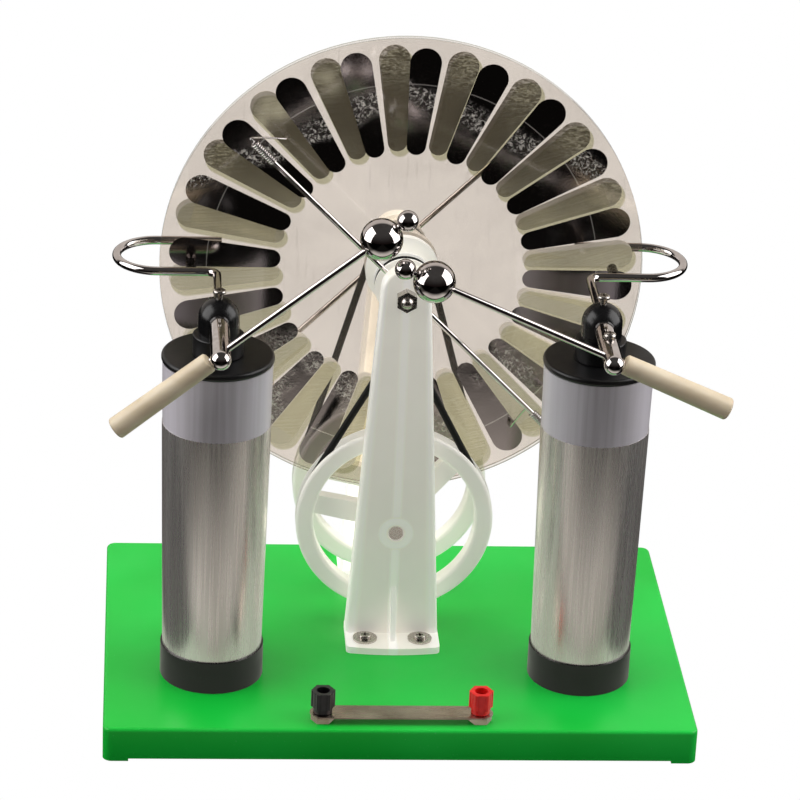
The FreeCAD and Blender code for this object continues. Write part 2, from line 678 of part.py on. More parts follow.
def crank_grip():
    z = DRIVE_AXLE_Z - CRANK_THROW
    start, end = grip_start(), grip_start() + GRIP_L
    bore, seat = GRIP_PIN_R + RUNNING, GRIP_PIN_HEAD_R + FREE_GAP
    edges = [
        Part.LineSegment(V(bore, start, z), V(GRIP_END_R, start, z)).toShape(),
        Part.Arc(V(GRIP_END_R, start, z), V(GRIP_R, start + GRIP_L * GRIP_FULL_SHARE, z), V(GRIP_END_R, end, z)).toShape(),
        Part.makePolygon([
            V(GRIP_END_R, end, z), V(seat, end, z), V(seat, end - GRIP_PIN_HEAD_T - FREE_GAP, z),
            V(bore, end - GRIP_PIN_HEAD_T - FREE_GAP, z), V(bore, start, z),
        ]),
    ]
    return Part.Face(Part.Wire(edges)).revolve(V(0, 0, z), Y_AXIS, FULL_TURN)


# ---- belts
def cord_section(centre, normal):
    return Part.Face(Part.Wire(Part.Edge(Part.Circle(centre, normal, BELT_R))))


def arc_tube(centre, radius, first, last):
    """Part of a ring of belt cord about a line along Y, from one angle to another."""
    angle = math.radians(first)
    start = centre + V(radius * math.cos(angle), 0, radius * math.sin(angle))
    section = cord_section(start, V(-math.sin(angle), 0, math.cos(angle)))
    return section.revolve(centre, V(0, -1, 0), last - first)


def shifted_run(start, run, shift):
    """Cord that moves sideways by shift over a straight run, as two equal arcs."""
    along, side = V(run).normalize(), V(shift).normalize()
    turn = 2 * math.atan2(shift.Length, run.Length)
    radius = run.Length / (2 * math.sin(turn))
    axis = along.cross(side)
    end = start + run + shift
    first = cord_section(start, along).revolve(start + side * radius, axis, math.degrees(turn))
    second = cord_section(end, along).revolve(end - side * radius, axis, math.degrees(turn))
    return [first, second]


def belt(crossed):
    """Round belt from a drive wheel to a disc pulley, in the plane of the front belt."""
    wheel, pulley = V(0, BELT_Y, DRIVE_AXLE_Z), V(0, BELT_Y, DISC_Z)
    side = -1 if crossed else 1
    lean = math.degrees(math.asin((WHEEL_PITCH_R - side * PULLEY_PITCH_R) / (DISC_Z - DRIVE_AXLE_Z)))
    top_lean = side * lean
    pieces = [
        arc_tube(wheel, WHEEL_PITCH_R, HALF_TURN - lean, FULL_TURN + lean),
        arc_tube(pulley, PULLEY_PITCH_R, top_lean, HALF_TURN - top_lean),
    ]
    outward = V(math.cos(math.radians(lean)), 0, math.sin(math.radians(lean)))
    for sign in (-1, 1):
        normal = V(sign * outward.x, 0, outward.z)
        low, high = wheel + normal * WHEEL_PITCH_R, pulley + normal * (side * PULLEY_PITCH_R)
        if crossed:
            run, shift = high - low, V(0, sign * BELT_BOW, 0)
            to_crossing = run * (WHEEL_PITCH_R / (WHEEL_PITCH_R + PULLEY_PITCH_R))
            pieces += shifted_run(low, to_crossing, shift)
            pieces += shifted_run(low + to_crossing + shift, run - to_crossing, -shift)
        else:
            pieces.append(rod_between(BELT_R, low, high))
    return pieces[0].multiFuse(pieces[1:]).removeSplitter()


# ---- neutralizers
def neutral_hub_start():
    return post_inner_y(DISC_Z - NEUTRAL_HUB_R) + FREE_GAP


def neutral_plane():
    return neutral_hub_start() + NEUTRAL_HUB_L / 2


def neutral_rod_root():
    return UPPER_AXLE_R + 2 * FREE_GAP


def front_neutralizer_hub():
    start = V(0, neutral_hub_start(), DISC_Z)
    ring = cylinder(NEUTRAL_HUB_R, NEUTRAL_HUB_L, start, Y_AXIS)
    ring = ring.cut(cylinder(UPPER_AXLE_R + RUNNING, NEUTRAL_HUB_L, start, Y_AXIS))
    ends = [polar(NEUTRAL_HUB_R, NEUTRAL_ANGLE + turn, neutral_plane()) for turn in (0, HALF_TURN)]
    return ring.cut(rod_between(NEUTRAL_ROD_R + RUNNING, *ends))


def front_neutralizer_rod():
    halves = []
    for turn in (0, HALF_TURN):
        start = polar(neutral_rod_root(), NEUTRAL_ANGLE + turn, neutral_plane())
        halves.append(rod_between(NEUTRAL_ROD_R, start, polar(NEUTRAL_REACH, NEUTRAL_ANGLE + turn, neutral_plane())))
    return halves


def brush(turn, tuft_radius, tuft_angle, from_outer_end):
    """Sleeve clamped on a rod's end, its wire leg, and the tinsel tuft that strokes the sectors."""
    coil_r = NEUTRAL_ROD_R + COIL_WIRE_R + RUNNING
    angle = NEUTRAL_ANGLE + turn
    start = polar(COIL_AT_R, angle, neutral_plane())
    out = (start - polar(0, angle, neutral_plane())).normalize()
    length = COIL_PITCH * COIL_TURNS
    sleeve = cylinder(coil_r + COIL_WIRE_R, length, start, out)
    sleeve = sleeve.cut(cylinder(NEUTRAL_ROD_R + RUNNING, length, start, out))
    touch_y = FRONT_DISC_Y - SECTOR_T - FREE_GAP
    tuft_top = polar(tuft_radius, tuft_angle, touch_y - TUFT_L)
    wire_end = tuft_top - V(0, COIL_WIRE_R, 0)
    from_y = neutral_plane() + coil_r
    leave = start + out * (length - COIL_WIRE_R if from_outer_end else COIL_WIRE_R)
    leave = V(leave.x, from_y, leave.z)
    if from_outer_end:
        knee = leave + out * (4 * COIL_WIRE_R) + V(0, 2 * COIL_WIRE_R, 0)
        wire = bent_rod(COIL_WIRE_R, [leave, knee, wire_end])
    else:
        wire = rod_between(COIL_WIRE_R, leave, wire_end)
    tuft = Part.makeCone(COIL_WIRE_R, TUFT_R, TUFT_L, tuft_top, Y_AXIS)
    return [sleeve.fuse(wire).removeSplitter(), tuft]


def front_brushes():
    upper = brush(0, UPPER_TUFT_AT_R, UPPER_TUFT_ANGLE, True)
    return upper + brush(HALF_TURN, LOWER_TUFT_AT_R, LOWER_TUFT_ANGLE, False)


# ---- Leyden jars (left one)
def cup_radius(z):
    share = (z - BASE_H) / (CUP_TOP_Z - BASE_H)
    return CUP_BASE_R + (CUP_TOP_R - CUP_BASE_R) * share


def jar_axis(z):
    return V(-JAR_X, JAR_Y, z)


def cup_shell(low, high, outside, inside):
    """Tapered tube that follows the cup's wall; outside and inside are offsets from the wall's outer face."""
    solid = Part.makeCone(cup_radius(low) + outside, cup_radius(high) + outside, high - low, jar_axis(low))
    return solid.cut(Part.makeCone(cup_radius(low) + inside, cup_radius(high) + inside, high - low, jar_axis(low)))


def jar_base_ring():
    ring_top = BASE_H + JAR_RING_H
    inner = cup_radius(ring_top) + RUNNING
    return cylinder(JAR_RING_R, JAR_RING_H, jar_axis(BASE_H)).cut(cylinder(inner, JAR_RING_H, jar_axis(BASE_H)))


def jar_cup():
    floor_top = BASE_H + CUP_FLOOR
    outer = Part.makeCone(CUP_BASE_R, CUP_TOP_R, CUP_TOP_Z - BASE_H, jar_axis(BASE_H))
    low, high = cup_radius(floor_top) - CUP_WALL, CUP_TOP_R - CUP_WALL
    outer = outer.cut(Part.makeCone(low, high, CUP_TOP_Z - floor_top, jar_axis(floor_top)))
    return outer.cut(cylinder(SCREW_R + SCREW_SLACK, CUP_FLOOR, jar_axis(BASE_H)))


def outer_foil():
    return cup_shell(BASE_H + JAR_RING_H + RUNNING, FOIL_TOP_Z, RUNNING + FOIL_T, RUNNING)


def inner_foil():
    outside = -CUP_WALL - FREE_GAP
    return cup_shell(BASE_H + JAR_RING_H, FOIL_TOP_Z, outside, outside - FOIL_T)


def jar_lid():
    disk = cylinder(LID_R, LID_T, jar_axis(CUP_TOP_Z))
    disk = round_circles(disk, LID_R, LID_EDGE_R)
    plug_low = CUP_TOP_Z - LID_PLUG_DEPTH
    plug = cylinder(cup_radius(plug_low) - CUP_WALL - RUNNING, LID_PLUG_DEPTH, jar_axis(plug_low))
    hole = cylinder(CONTACT_ROD_R + RUNNING, LID_T + LID_PLUG_DEPTH, jar_axis(plug_low))
    return disk.fuse(plug).removeSplitter().cut(hole)


def lid_collar():
    low = jar_axis(CUP_TOP_Z + LID_T)
    ring = round_circles(cylinder(COLLAR_R, COLLAR_H, low), COLLAR_R, LID_EDGE_R / 2)
    return ring.cut(cylinder(DOME_R + RUNNING, COLLAR_H, low))


def jar_dome():
    """Terminal head: bored for the spark arm in front, the collector behind, and its screw on top."""
    low = CUP_TOP_Z + LID_T
    solid = cylinder(DOME_R, HEAD_Z - low, jar_axis(low)).fuse(Part.makeSphere(DOME_R, jar_axis(HEAD_Z)))
    front = cylinder(HOLDER_SPIGOT_R + RUNNING, 2 * DOME_R, V(-JAR_X, spigot_end(), HEAD_Z), V(0, -1, 0))
    back = cylinder(TUBE_R + RUNNING, 2 * DOME_R, V(-JAR_X, tube_end(), HEAD_Z), Y_AXIS)
    below = cylinder(CONTACT_ROD_R + RUNNING, contact_rod_top() - low, jar_axis(low))
    above = cylinder(DOME_SCREW_R, 2 * DOME_R, jar_axis(dome_screw_low()))
    return solid.removeSplitter().cut(Part.makeCompound([front, back, below, above]))


def spigot_end():
    """Where the spark arm's spigot ends inside the dome."""
    return JAR_Y - DOME_R + HOLDER_SPIGOT_L + RUNNING


def tube_end():
    """Where the collector ends inside the dome."""
    return JAR_Y + DOME_R - TUBE_SEAT


def contact_rod_top():
    return HEAD_Z - HOLDER_SPIGOT_R - 2 * RUNNING - FREE_GAP


def dome_screw_low():
    return HEAD_Z + HOLDER_SPIGOT_R + 2 * FREE_GAP


def dome_screw():
    low, seat = dome_screw_low(), HEAD_Z + DOME_R + DOME_SCREW_PROUD
    shank = cylinder(DOME_SCREW_R, seat - low, jar_axis(low))
    return shank.fuse(pan_head(SCREW_HEAD_R, SCREW_HEAD_H, jar_axis(seat))).removeSplitter()


def contact_rod():
    """Rod from the dome down to a spring leaf that presses on the inner foil."""
    leaf_z = CONTACT_ROD_END
    rod = cylinder(CONTACT_ROD_R, contact_rod_top() - leaf_z, jar_axis(leaf_z))
    reach = cup_radius(leaf_z) - CUP_WALL - FOIL_T - 2 * FREE_GAP
    centre = jar_axis(leaf_z)
    half = V(0, CONTACT_LEAF_W / 2, 0)
    end = math.sqrt(reach ** 2 - (CONTACT_LEAF_W / 2) ** 2)
    leaf = box(centre - half - V(end, 0, 0), centre + half + V(end, 0, CONTACT_LEAF_T))
    return rod.fuse(leaf).removeSplitter()


# ---- collectors (left one)
def left_collector():
    """Bent tube from the dome, round the edge of both discs, with a leg on each side of them."""
    z = HEAD_Z
    x_in, x_bend, tail = -JAR_X, -COLLECTOR_BEND_X, -COLLECTOR_TAIL_X
    front, back = COLLECTOR_FRONT_Y, COLLECTOR_BACK_Y
    elbow, bend = COLLECTOR_ELBOW_R, COLLECTOR_BEND_R
    diagonal = math.sqrt(0.5)

    def arc(centre, radius, start, middle, end):
        points = [centre + V(radius * dx, radius * dy, 0) for dx, dy in (start, middle, end)]
        return Part.Arc(*points).toShape()

    edges = [
        Part.LineSegment(V(x_in, tube_end(), z), V(x_in, front - elbow, z)).toShape(),
        arc(V(x_in - elbow, front - elbow, z), elbow, (1, 0), (diagonal, diagonal), (0, 1)),
        Part.LineSegment(V(x_in - elbow, front, z), V(x_bend, front, z)).toShape(),
        arc(V(x_bend, front + bend, z), bend, (0, -1), (-1, 0), (0, 1)),
        Part.LineSegment(V(x_bend, back, z), V(tail, back, z)).toShape(),
    ]
    return tube_along(TUBE_R, edges, V(x_in, tube_end(), z), Y_AXIS)


def left_comb(leg_y, disc_face_y):
    """Pointed pin that gathers charge, from one leg of the collector to the face of the disc beside it."""
    side = math.copysign(1, disc_face_y - leg_y)
    root = leg_y + side * TUBE_R * COMB_SEAT_SHARE
    neck = disc_face_y - side * (SECTOR_T + COMB_CLEAR + COMB_R)
    shank = rod_between(COMB_R, V(-COMB_X, root, HEAD_Z), V(-COMB_X, neck, HEAD_Z))
    point = Part.makeCone(COMB_R, COMB_R / 3, COMB_R, V(-COMB_X, neck, HEAD_Z), V(0, side, 0))
    tube = cylinder(TUBE_R, 4 * COMB_R, V(-COMB_X - 2 * COMB_R, leg_y, HEAD_Z), X_AXIS)
    return shank.fuse(point).removeSplitter().cut(tube)


def combs():
    left = [left_comb(COLLECTOR_FRONT_Y, FRONT_DISC_Y), left_comb(COLLECTOR_BACK_Y, REAR_DISC_Y)]
    return left + [other_side(comb) for comb in left]


# ---- spark arms
def holder(x):
    """Turned bar on a spigot in the dome; the spark rod crosses it behind its rounded end."""
    start = JAR_Y - DOME_R - FREE_GAP
    step = start - 3 * HOLDER_GROOVE
    low = HOLDER_R - HOLDER_GROOVE / 2
    profile = [(0, spigot_end() - RUNNING), (HOLDER_SPIGOT_R, spigot_end() - RUNNING), (HOLDER_SPIGOT_R, start)]
    profile += [(HOLDER_R, start), (HOLDER_R, step), (low, step), (low, step - HOLDER_GROOVE)]
    profile += [(HOLDER_R, step - HOLDER_GROOVE), (HOLDER_R, HOLDER_END_Y), (0, HOLDER_END_Y)]
    bar = turned_y(profile, HEAD_Z, x)
    return bar.fuse(Part.makeSphere(HOLDER_R, V(x, HOLDER_END_Y, HEAD_Z))).removeSplitter()


def along_arm(x, angle, distance):
    turn = math.radians(angle)
    return V(x + distance * math.cos(turn), ARM_Y, HEAD_Z + distance * math.sin(turn))


def arm_holder(x, angle):
    hole = rod_between(ARM_ROD_R + RUNNING, along_arm(x, angle, -2 * HOLDER_R), along_arm(x, angle, 2 * HOLDER_R))
    return holder(x).cut(hole)


def clamp_screw_place():
    return V(JAR_X, CLAMP_SCREW_Y, HEAD_Z + HOLDER_R)


def right_holder():
    seat = clamp_screw_place()
    return arm_holder(JAR_X, RIGHT_ARM_ANGLE).cut(cylinder(CLAMP_SCREW_R, HOLDER_R, seat - V(0, 0, HOLDER_R)))


def holder_clamp_screw():
    seat = clamp_screw_place()
    shank = cylinder(CLAMP_SCREW_R, HOLDER_R, seat - V(0, 0, HOLDER_R))
    return shank.fuse(pan_head(CLAMP_HEAD_R, CLAMP_HEAD_H, seat)).removeSplitter()


def spark_rod(x, angle):
    return rod_between(ARM_ROD_R, along_arm(x, angle, -HANDLE_START - HANDLE_BORE_L), along_arm(x, angle, SMALL_BALL_AT))


def spark_balls(x, angle):
    """Big ball that the rod passes through, and small ball that it ends in."""
    outward = along_arm(x, angle, 1) - along_arm(x, angle, 0)
    balls = []
    for radius, at, bore_end in ((BIG_BALL_R, BIG_BALL_AT, BIG_BALL_R), (SMALL_BALL_R, SMALL_BALL_AT, RUNNING)):
        bore = cylinder(ARM_ROD_R + RUNNING, radius + bore_end, V(0, 0, -radius))
        ball = Part.makeSphere(radius).cut(bore)
        ball.Placement = FreeCAD.Placement(along_arm(x, angle, at), FreeCAD.Rotation(Z_AXIS, outward))
        balls.append(ball)
    return balls


def spark_handle(x, angle):
    start = along_arm(x, angle, -HANDLE_START)
    outward = along_arm(x, angle, -1) - along_arm(x, angle, 0)
    bar = Part.makeCone(HANDLE_R, HANDLE_END_R, HANDLE_L, start, outward)
    for radius in (HANDLE_R, HANDLE_END_R):
        bar = round_circles(bar, radius, HANDLE_EDGE_R)
    return bar.cut(rod_between(ARM_ROD_R, start, along_arm(x, angle, -HANDLE_START - HANDLE_BORE_L)))


# ---- terminals
def strap_low():
    return BASE_H + TERMINAL_NUT_H


def cap_low():
    return strap_low() + STRAP_T + FREE_GAP


def terminal_stud(place):
    """Threaded stud with the hex nut that clamps it to the base."""
    low, high = SKIN_UNDER - SCREW_REACH, cap_low() + CAP_H - CAP_SOCKET_DEPTH
    stud = cylinder(SCREW_R - RUNNING, high - low, V(place.x, place.y, low))
    collar = hexagon(TERMINAL_NUT_AF, TERMINAL_NUT_H, place)
    disc = Part.makeCone(TERMINAL_NUT_AF / 2, TERMINAL_NUT_AF, TERMINAL_NUT_AF / 2, place - V(0, 0, STRAP_T))
    return collar.common(disc.fuse(cylinder(TERMINAL_NUT_AF, TERMINAL_NUT_H, place + V(0, 0, 1)))).fuse(stud)


def shorting_strap():
    """Flat strap on both studs; its slot is open at the back, so it swings forward off the right stud."""
    low = strap_low()
    left, right = V(-TERMINAL_X, TERMINAL_Y, low), V(TERMINAL_X, TERMINAL_Y, low)
    half = STRAP_W / 2
    bar = box(left - V(0, half, 0), right + V(0, half, STRAP_T))
    bar = bar.multiFuse([cylinder(half, STRAP_T, left), cylinder(half, STRAP_T, right)]).removeSplitter()
    slot = SCREW_R + STRAP_SLOT_SLACK
    gap = box(right - V(slot, 0, 0), right + V(slot, 2 * half, STRAP_T))
    holes = [cylinder(SCREW_R, STRAP_T, left), cylinder(slot, STRAP_T, right), gap]
    return bar.cut(Part.makeCompound(holes))


def cap_insert(place):
    """Threaded bush inside a terminal cap."""
    low, length = V(place.x, place.y, cap_low()), CAP_H - CAP_SOCKET_DEPTH
    return cylinder(INSERT_R, length, low).cut(cylinder(SCREW_R, length, low))


def terminal_cap(place):
    low = V(place.x, place.y, cap_low())
    body = cylinder(CAP_NECK_R, CAP_H, low)
    lobed = cylinder(CAP_R, CAP_H - CAP_NECK_H, low + V(0, 0, CAP_NECK_H))
    lobes = []
    for i in range(CAP_LOBES):
        turn = 2 * math.pi * i / CAP_LOBES
        at = low + V((CAP_R - CAP_LOBE_R / 2) * math.cos(turn), (CAP_R - CAP_LOBE_R / 2) * math.sin(turn), CAP_NECK_H)
        lobes.append(cylinder(CAP_LOBE_R, CAP_H - CAP_NECK_H, at))
    solid = body.multiFuse([lobed] + lobes).removeSplitter()
    bore = cylinder(INSERT_R + RUNNING, CAP_H, low)
    socket = cylinder(CAP_SOCKET_R, CAP_SOCKET_DEPTH, low + V(0, 0, CAP_H - CAP_SOCKET_DEPTH))
    return solid.cut(bore.fuse(socket))


def nodes():
    """Every piece of the machine, by name; a list is a group of separate solids."""
    screws, terminals = screw_places(), terminal_places()
    parts = {
        "base": base(),
        "front_post": front_post(),
        "rear_post": mirrored(front_post()),
        "pan_head_screws": [screw(p) for p in screws] + [dome_screw(), other_side(dome_screw())],
        "post_washers": [washer(p) for p in screws[:4]],
        "base_nuts": base_nuts(),
        "contact_strips": [contact_strip(), other_side(contact_strip())],
        "upper_axle": upper_axle(),
        "axle_cap_nuts": [cap_nut(), mirrored(cap_nut())],
        "disc_spacer": disc_spacer(),
        "front_disc": front_disc(),
        "rear_disc": mirrored(front_disc()),
        "front_sectors": sectors(FRONT_SECTOR_ANGLE),
        "rear_sectors": [mirrored(s) for s in sectors(REAR_SECTOR_ANGLE)],
        "front_pulley": front_pulley(),
        "rear_pulley": mirrored(front_pulley()),
        "front_belt": belt(crossed=True),
        "rear_belt": mirrored(belt(crossed=False)),
        "drive_axle": drive_axle(),
        "front_drive_wheel": front_drive_wheel(),
        "rear_drive_wheel": mirrored(front_drive_wheel()),
        "wheel_pins": wheel_pins(),
        "crank_arm": crank_arm(),
        "crank_grip": crank_grip(),
        "crank_grip_pin": crank_grip_pin(),
        "front_neutralizer_hub": front_neutralizer_hub(),
        "front_neutralizer_rod": front_neutralizer_rod(),
        "front_brushes": front_brushes(),
        "rear_neutralizer_hub": other_side(mirrored(front_neutralizer_hub())),
        "rear_neutralizer_rod": [other_side(mirrored(half)) for half in front_neutralizer_rod()],
        "rear_brushes": [other_side(mirrored(piece)) for piece in front_brushes()],
        "jar_base_rings": [jar_base_ring(), other_side(jar_base_ring())],
        "left_jar_cup": jar_cup(),
        "right_jar_cup": other_side(jar_cup()),
        "jar_outer_foils": [outer_foil(), other_side(outer_foil())],
        "jar_inner_foils": [inner_foil(), other_side(inner_foil())],
        "left_jar_lid": jar_lid(),
        "right_jar_lid": other_side(jar_lid()),
        "lid_collars": [lid_collar(), other_side(lid_collar())],
        "left_jar_dome": jar_dome(),
        "right_jar_dome": other_side(jar_dome()),
        "jar_contact_rods": [contact_rod(), other_side(contact_rod())],
        "left_collector": left_collector(),
        "right_collector": other_side(left_collector()),
        "collector_combs": combs(),
        "left_holder": arm_holder(-JAR_X, LEFT_ARM_ANGLE),
        "right_holder": right_holder(),
        "holder_clamp_screw": holder_clamp_screw(),
        "terminal_studs": [terminal_stud(p) for p in terminals],
        "shorting_strap": shorting_strap(),
        "black_cap_insert": cap_insert(terminals[0]),
        "black_terminal_cap": terminal_cap(terminals[0]),
        "red_cap_insert": cap_insert(terminals[1]),
        "red_terminal_cap": terminal_cap(terminals[1]),
    }
    for side, x, angle in (("left", -JAR_X, LEFT_ARM_ANGLE), ("right", JAR_X, RIGHT_ARM_ANGLE)):
        parts[side + "_spark_rod"] = spark_rod(x, angle)
        parts[side + "_spark_balls"] = spark_balls(x, angle)
        parts[side + "_spark_handle"] = spark_handle(x, angle)
    return parts


def write(parts):
    os.makedirs("parts", exist_ok=True)
    for name, piece in parts.items():
        shape = Part.makeCompound(piece) if isinstance(piece, list) else piece
        count = len(shape.Solids)
        print(f"{name}: {count} solid(s), {shape.Volume / 1000:.2f} cm3, valid {shape.isValid()}")
        shape.exportStep(f"parts/{name}.step")


write(nodes())
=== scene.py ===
"""Wimshurst machine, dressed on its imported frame. Metres; X right, Y back, Z up; the underside is at Z 0."""
import json
import math
import random

import bpy
from mathutils import Matrix, Vector


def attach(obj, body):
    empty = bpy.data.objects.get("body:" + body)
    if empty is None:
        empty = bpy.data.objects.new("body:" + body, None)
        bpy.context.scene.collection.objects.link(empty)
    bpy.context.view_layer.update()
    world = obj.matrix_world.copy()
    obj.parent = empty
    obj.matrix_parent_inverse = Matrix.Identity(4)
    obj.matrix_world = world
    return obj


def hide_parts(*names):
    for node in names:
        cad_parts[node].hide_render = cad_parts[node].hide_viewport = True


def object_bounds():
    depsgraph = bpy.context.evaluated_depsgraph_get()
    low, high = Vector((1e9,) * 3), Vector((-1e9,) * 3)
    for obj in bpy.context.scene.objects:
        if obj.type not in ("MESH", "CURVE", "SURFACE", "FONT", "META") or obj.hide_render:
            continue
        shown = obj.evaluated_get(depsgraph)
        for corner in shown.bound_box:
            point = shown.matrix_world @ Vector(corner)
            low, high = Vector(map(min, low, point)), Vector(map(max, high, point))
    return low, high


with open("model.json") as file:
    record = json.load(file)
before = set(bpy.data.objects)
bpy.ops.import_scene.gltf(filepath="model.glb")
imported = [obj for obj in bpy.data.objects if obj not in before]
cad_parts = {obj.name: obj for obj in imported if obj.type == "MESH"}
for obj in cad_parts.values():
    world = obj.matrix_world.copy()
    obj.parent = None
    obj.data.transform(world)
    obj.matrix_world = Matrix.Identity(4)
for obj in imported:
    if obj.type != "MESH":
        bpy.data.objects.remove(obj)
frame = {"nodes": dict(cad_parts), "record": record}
NODES = frame["nodes"]
CAD_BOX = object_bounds()
MM = 0.001
# the table top that mirrors show, in metres: where it fades at its sides and front, and where a painted shadow
# darkens it close to the base and under it
TABLE_SIDE, TABLE_FRONT, BASE_SHADE = (0.18, 0.38), (-0.42, -0.19), (-0.165, -0.135)

# ---- places shared with the solids, in millimetres
DISC_Y, DISC_Z = 38.0, 231.0
NEUTRAL_ANGLE, NEUTRAL_Y = 135.3, 5.2
NEUTRAL_ROD_R = 1.5
COIL_AT_R, COIL_L = 104.0, 16.1
UPPER_TUFT, LOWER_TUFT = (103.0, 130.5), (114.0, -55.0)
SECTOR_COUNT = 20
SECTOR_ROOT_AT, SECTOR_TIP_AT = 73.35, 121.3      # centres of a foil's two round ends, from the axle
SECTOR_ROOT_R, SECTOR_TIP_R = 5.35, 8.7
REAR_SECTOR_ANGLE = 4.0
SECTOR_FACE_Y, TUFT_L = 35.3, 5.0
POST_FOOT_Z, POST_TOP_Z, POST_FOOT_HALF_W, POST_TOP_HALF_W = 20.0, 248.0, 26.5, 13.0
DRIVE_AXLE_Z = 87.2

# ---- looser sizes of the visual pieces, in millimetres
COIL_TURNS, COIL_WIRE_R = 11, 0.52
COIL_GAP, COIL_STEPS = 0.02, 16                   # room between coil and rod; points in one turn
KNEE_OUT, KNEE_BACK = 2.6, 1.2                    # first bend of the wire past the coil
TUFT_GAP = 0.3                                    # strands stop this far short of the foil
STRAND_COUNT, STRAND_R, STRAND_SPREAD, STRAND_SHORTER = 34, 0.09, 2.1, 0.9

# ---- marks that the materials draw, in millimetres
POST_RIB_Z = (30.0, 210.0)                        # the pale rib fades up the post between these heights
BOSS_RIM_R = 7.5                                  # pale ring round the drive axle's hole
LIT_BELT_RISE, LIT_BELT_SLOPE = 104.0, -0.42      # painted highlight on the front foils: height over the axle, slope
PRESSED_RING_R = 109.0                            # thin ring pressed into the front foils
PAINTED_FOIL_SHADE_SHIFT = (1.5, -2.4)                   # shift of the painted shade that repeats the rear foils' outline in the rear disc

# ---- the camera, fitted to the picture
YAW, PITCH, ROLL = 4.63, 24.46, 2.60              # degrees
CAMERA_AT = (-149.79, -1843.09, 1007.76)          # millimetres
FOCAL_PX, PHOTO_PX, SENSOR_W = 3650.84, 800, 36.0

# ---- lamps: name, place, target, width, height, watts, and whether it shows in mirrors
LAMP_COLOR = (1.0, 0.985, 0.98)
LAMPS = (
    ("left_softbox", (-1.05, -0.12, 0.70), (0, 0, 0.2), 1.1, 1.2, 11.5, True),
    ("right_softbox", (1.05, -0.12, 0.70), (0, 0, 0.2), 1.1, 1.2, 11.5, True),
    ("top_soft", (0, 0.1, 1.5), (0, 0, 0), 1.2, 1.2, 15, False),
    ("front_fill", (0, -1.6, 0.9), (0, 0, 0.15), 1.0, 1.0, 2.5, False),
)
FLOOR_HALF, FLOOR_BELOW = 4.0, 0.0002
WHITE, BLACK = (1.0, 1.0, 1.0, 1.0), (0.0, 0.0, 0.0, 1.0)


# ---- shader helpers
def srgb(r, g, b):
    """Linear colour of an 8-bit colour."""
    shares = [c / 255 for c in (r, g, b)]
    return tuple(c / 12.92 if c <= 0.04045 else ((c + 0.055) / 1.055) ** 2.4 for c in shares) + (1.0,)


class Graph:
    """Builds a node tree: a value given for an input is set on it, and a socket is linked to it."""

    def __init__(self, tree):
        self.tree = tree

    def add(self, kind, inputs=None, **settings):
        node = self.tree.nodes.new("ShaderNode" + kind)
        for key, value in settings.items():
            setattr(node, key, value)
        for name, value in (inputs or {}).items():
            if isinstance(value, bpy.types.NodeSocket):
                self.tree.links.new(value, node.inputs[name])
            else:
                node.inputs[name].default_value = value
        return node

    def place(self):
        """Position in the machine's frame, which goes with the piece as it moves."""
        return self.add("TexCoord").outputs["Object"]

    def axes(self, vector):
        parts = self.add("SeparateXYZ", {0: vector})
        return parts.outputs[0], parts.outputs[1], parts.outputs[2]

    def scaled(self, vector, scale):
        return self.add("VectorMath", {0: vector, 1: scale}, operation="MULTIPLY").outputs[0]

    def noise(self, scale, detail=3.0, vector=None, rough=0.55, distortion=0.0):
        node = self.add("TexNoise", {"Vector": vector or self.place(), "Scale": scale, "Detail": detail,
                                     "Roughness": rough, "Distortion": distortion})
        return node.outputs["Fac"]

    def math(self, operation, a, b=0.0, c=0.0, clamp=False):
        return self.add("Math", {0: a, 1: b, 2: c}, operation=operation, use_clamp=clamp).outputs[0]

    def ramp(self, value, low, high, to_low=0.0, to_high=1.0, smooth=True):
        """Goes from to_low to to_high as value goes from low to high, and stays level beyond them."""
        limits = {"Value": value, "From Min": low, "From Max": high, "To Min": to_low, "To Max": to_high}
        kind = "SMOOTHSTEP" if smooth else "LINEAR"
        return self.add("MapRange", limits, interpolation_type=kind).outputs[0]

    def mix(self, factor, a, b, blend="MIX"):
        node = self.add("Mix", data_type="RGBA", blend_type=blend)
        for socket, value in ((node.inputs[0], factor), (node.inputs[6], a), (node.inputs[7], b)):
            if isinstance(value, bpy.types.NodeSocket):
                self.tree.links.new(value, socket)
            else:
                socket.default_value = value
        return node.outputs[2]

    def bump(self, height, distance, strength=1.0, after=None):
        inputs = {"Height": height, "Distance": distance, "Strength": strength}
        if after:
            inputs["Normal"] = after
        return self.add("Bump", inputs).outputs[0]

    def length(self, a, b):
        return self.math("SQRT", self.math("ADD", self.math("MULTIPLY", a, a), self.math("MULTIPLY", b, b)))

    def around_axle(self, shift_x=0.0, shift_z=0.0):
        """Distance from the disc axle, moved by a shift in millimetres, and the angle around it."""
        x, _, z = self.axes(self.place())
        x = self.math("SUBTRACT", x, shift_x * MM)
        z = self.math("SUBTRACT", z, (DISC_Z + shift_z) * MM)
        return self.length(x, z), self.math("ARCTAN2", z, x)

    def slant(self):
        """0 where a surface faces the eye, 1 where it is seen edge-on."""
        return self.add("LayerWeight", {"Blend": 0.5}).outputs["Facing"]

    def side_on(self):
        """As slant, but rising evenly across a round piece."""
        turned = self.math("SUBTRACT", 1.0, self.slant())
        squared = self.math("MULTIPLY", turned, turned)
        return self.math("SQRT", self.math("SUBTRACT", 1.0, squared, clamp=True))


def material(name, build):
    """Material whose shader is what build(graph) returns."""
    made = bpy.data.materials.new(name)
    made.use_nodes = True
    tree = made.node_tree
    tree.nodes.clear()
    graph = Graph(tree)
    shader = build(graph)
    graph.add("OutputMaterial", {"Surface": shader.outputs[0]})
    return made


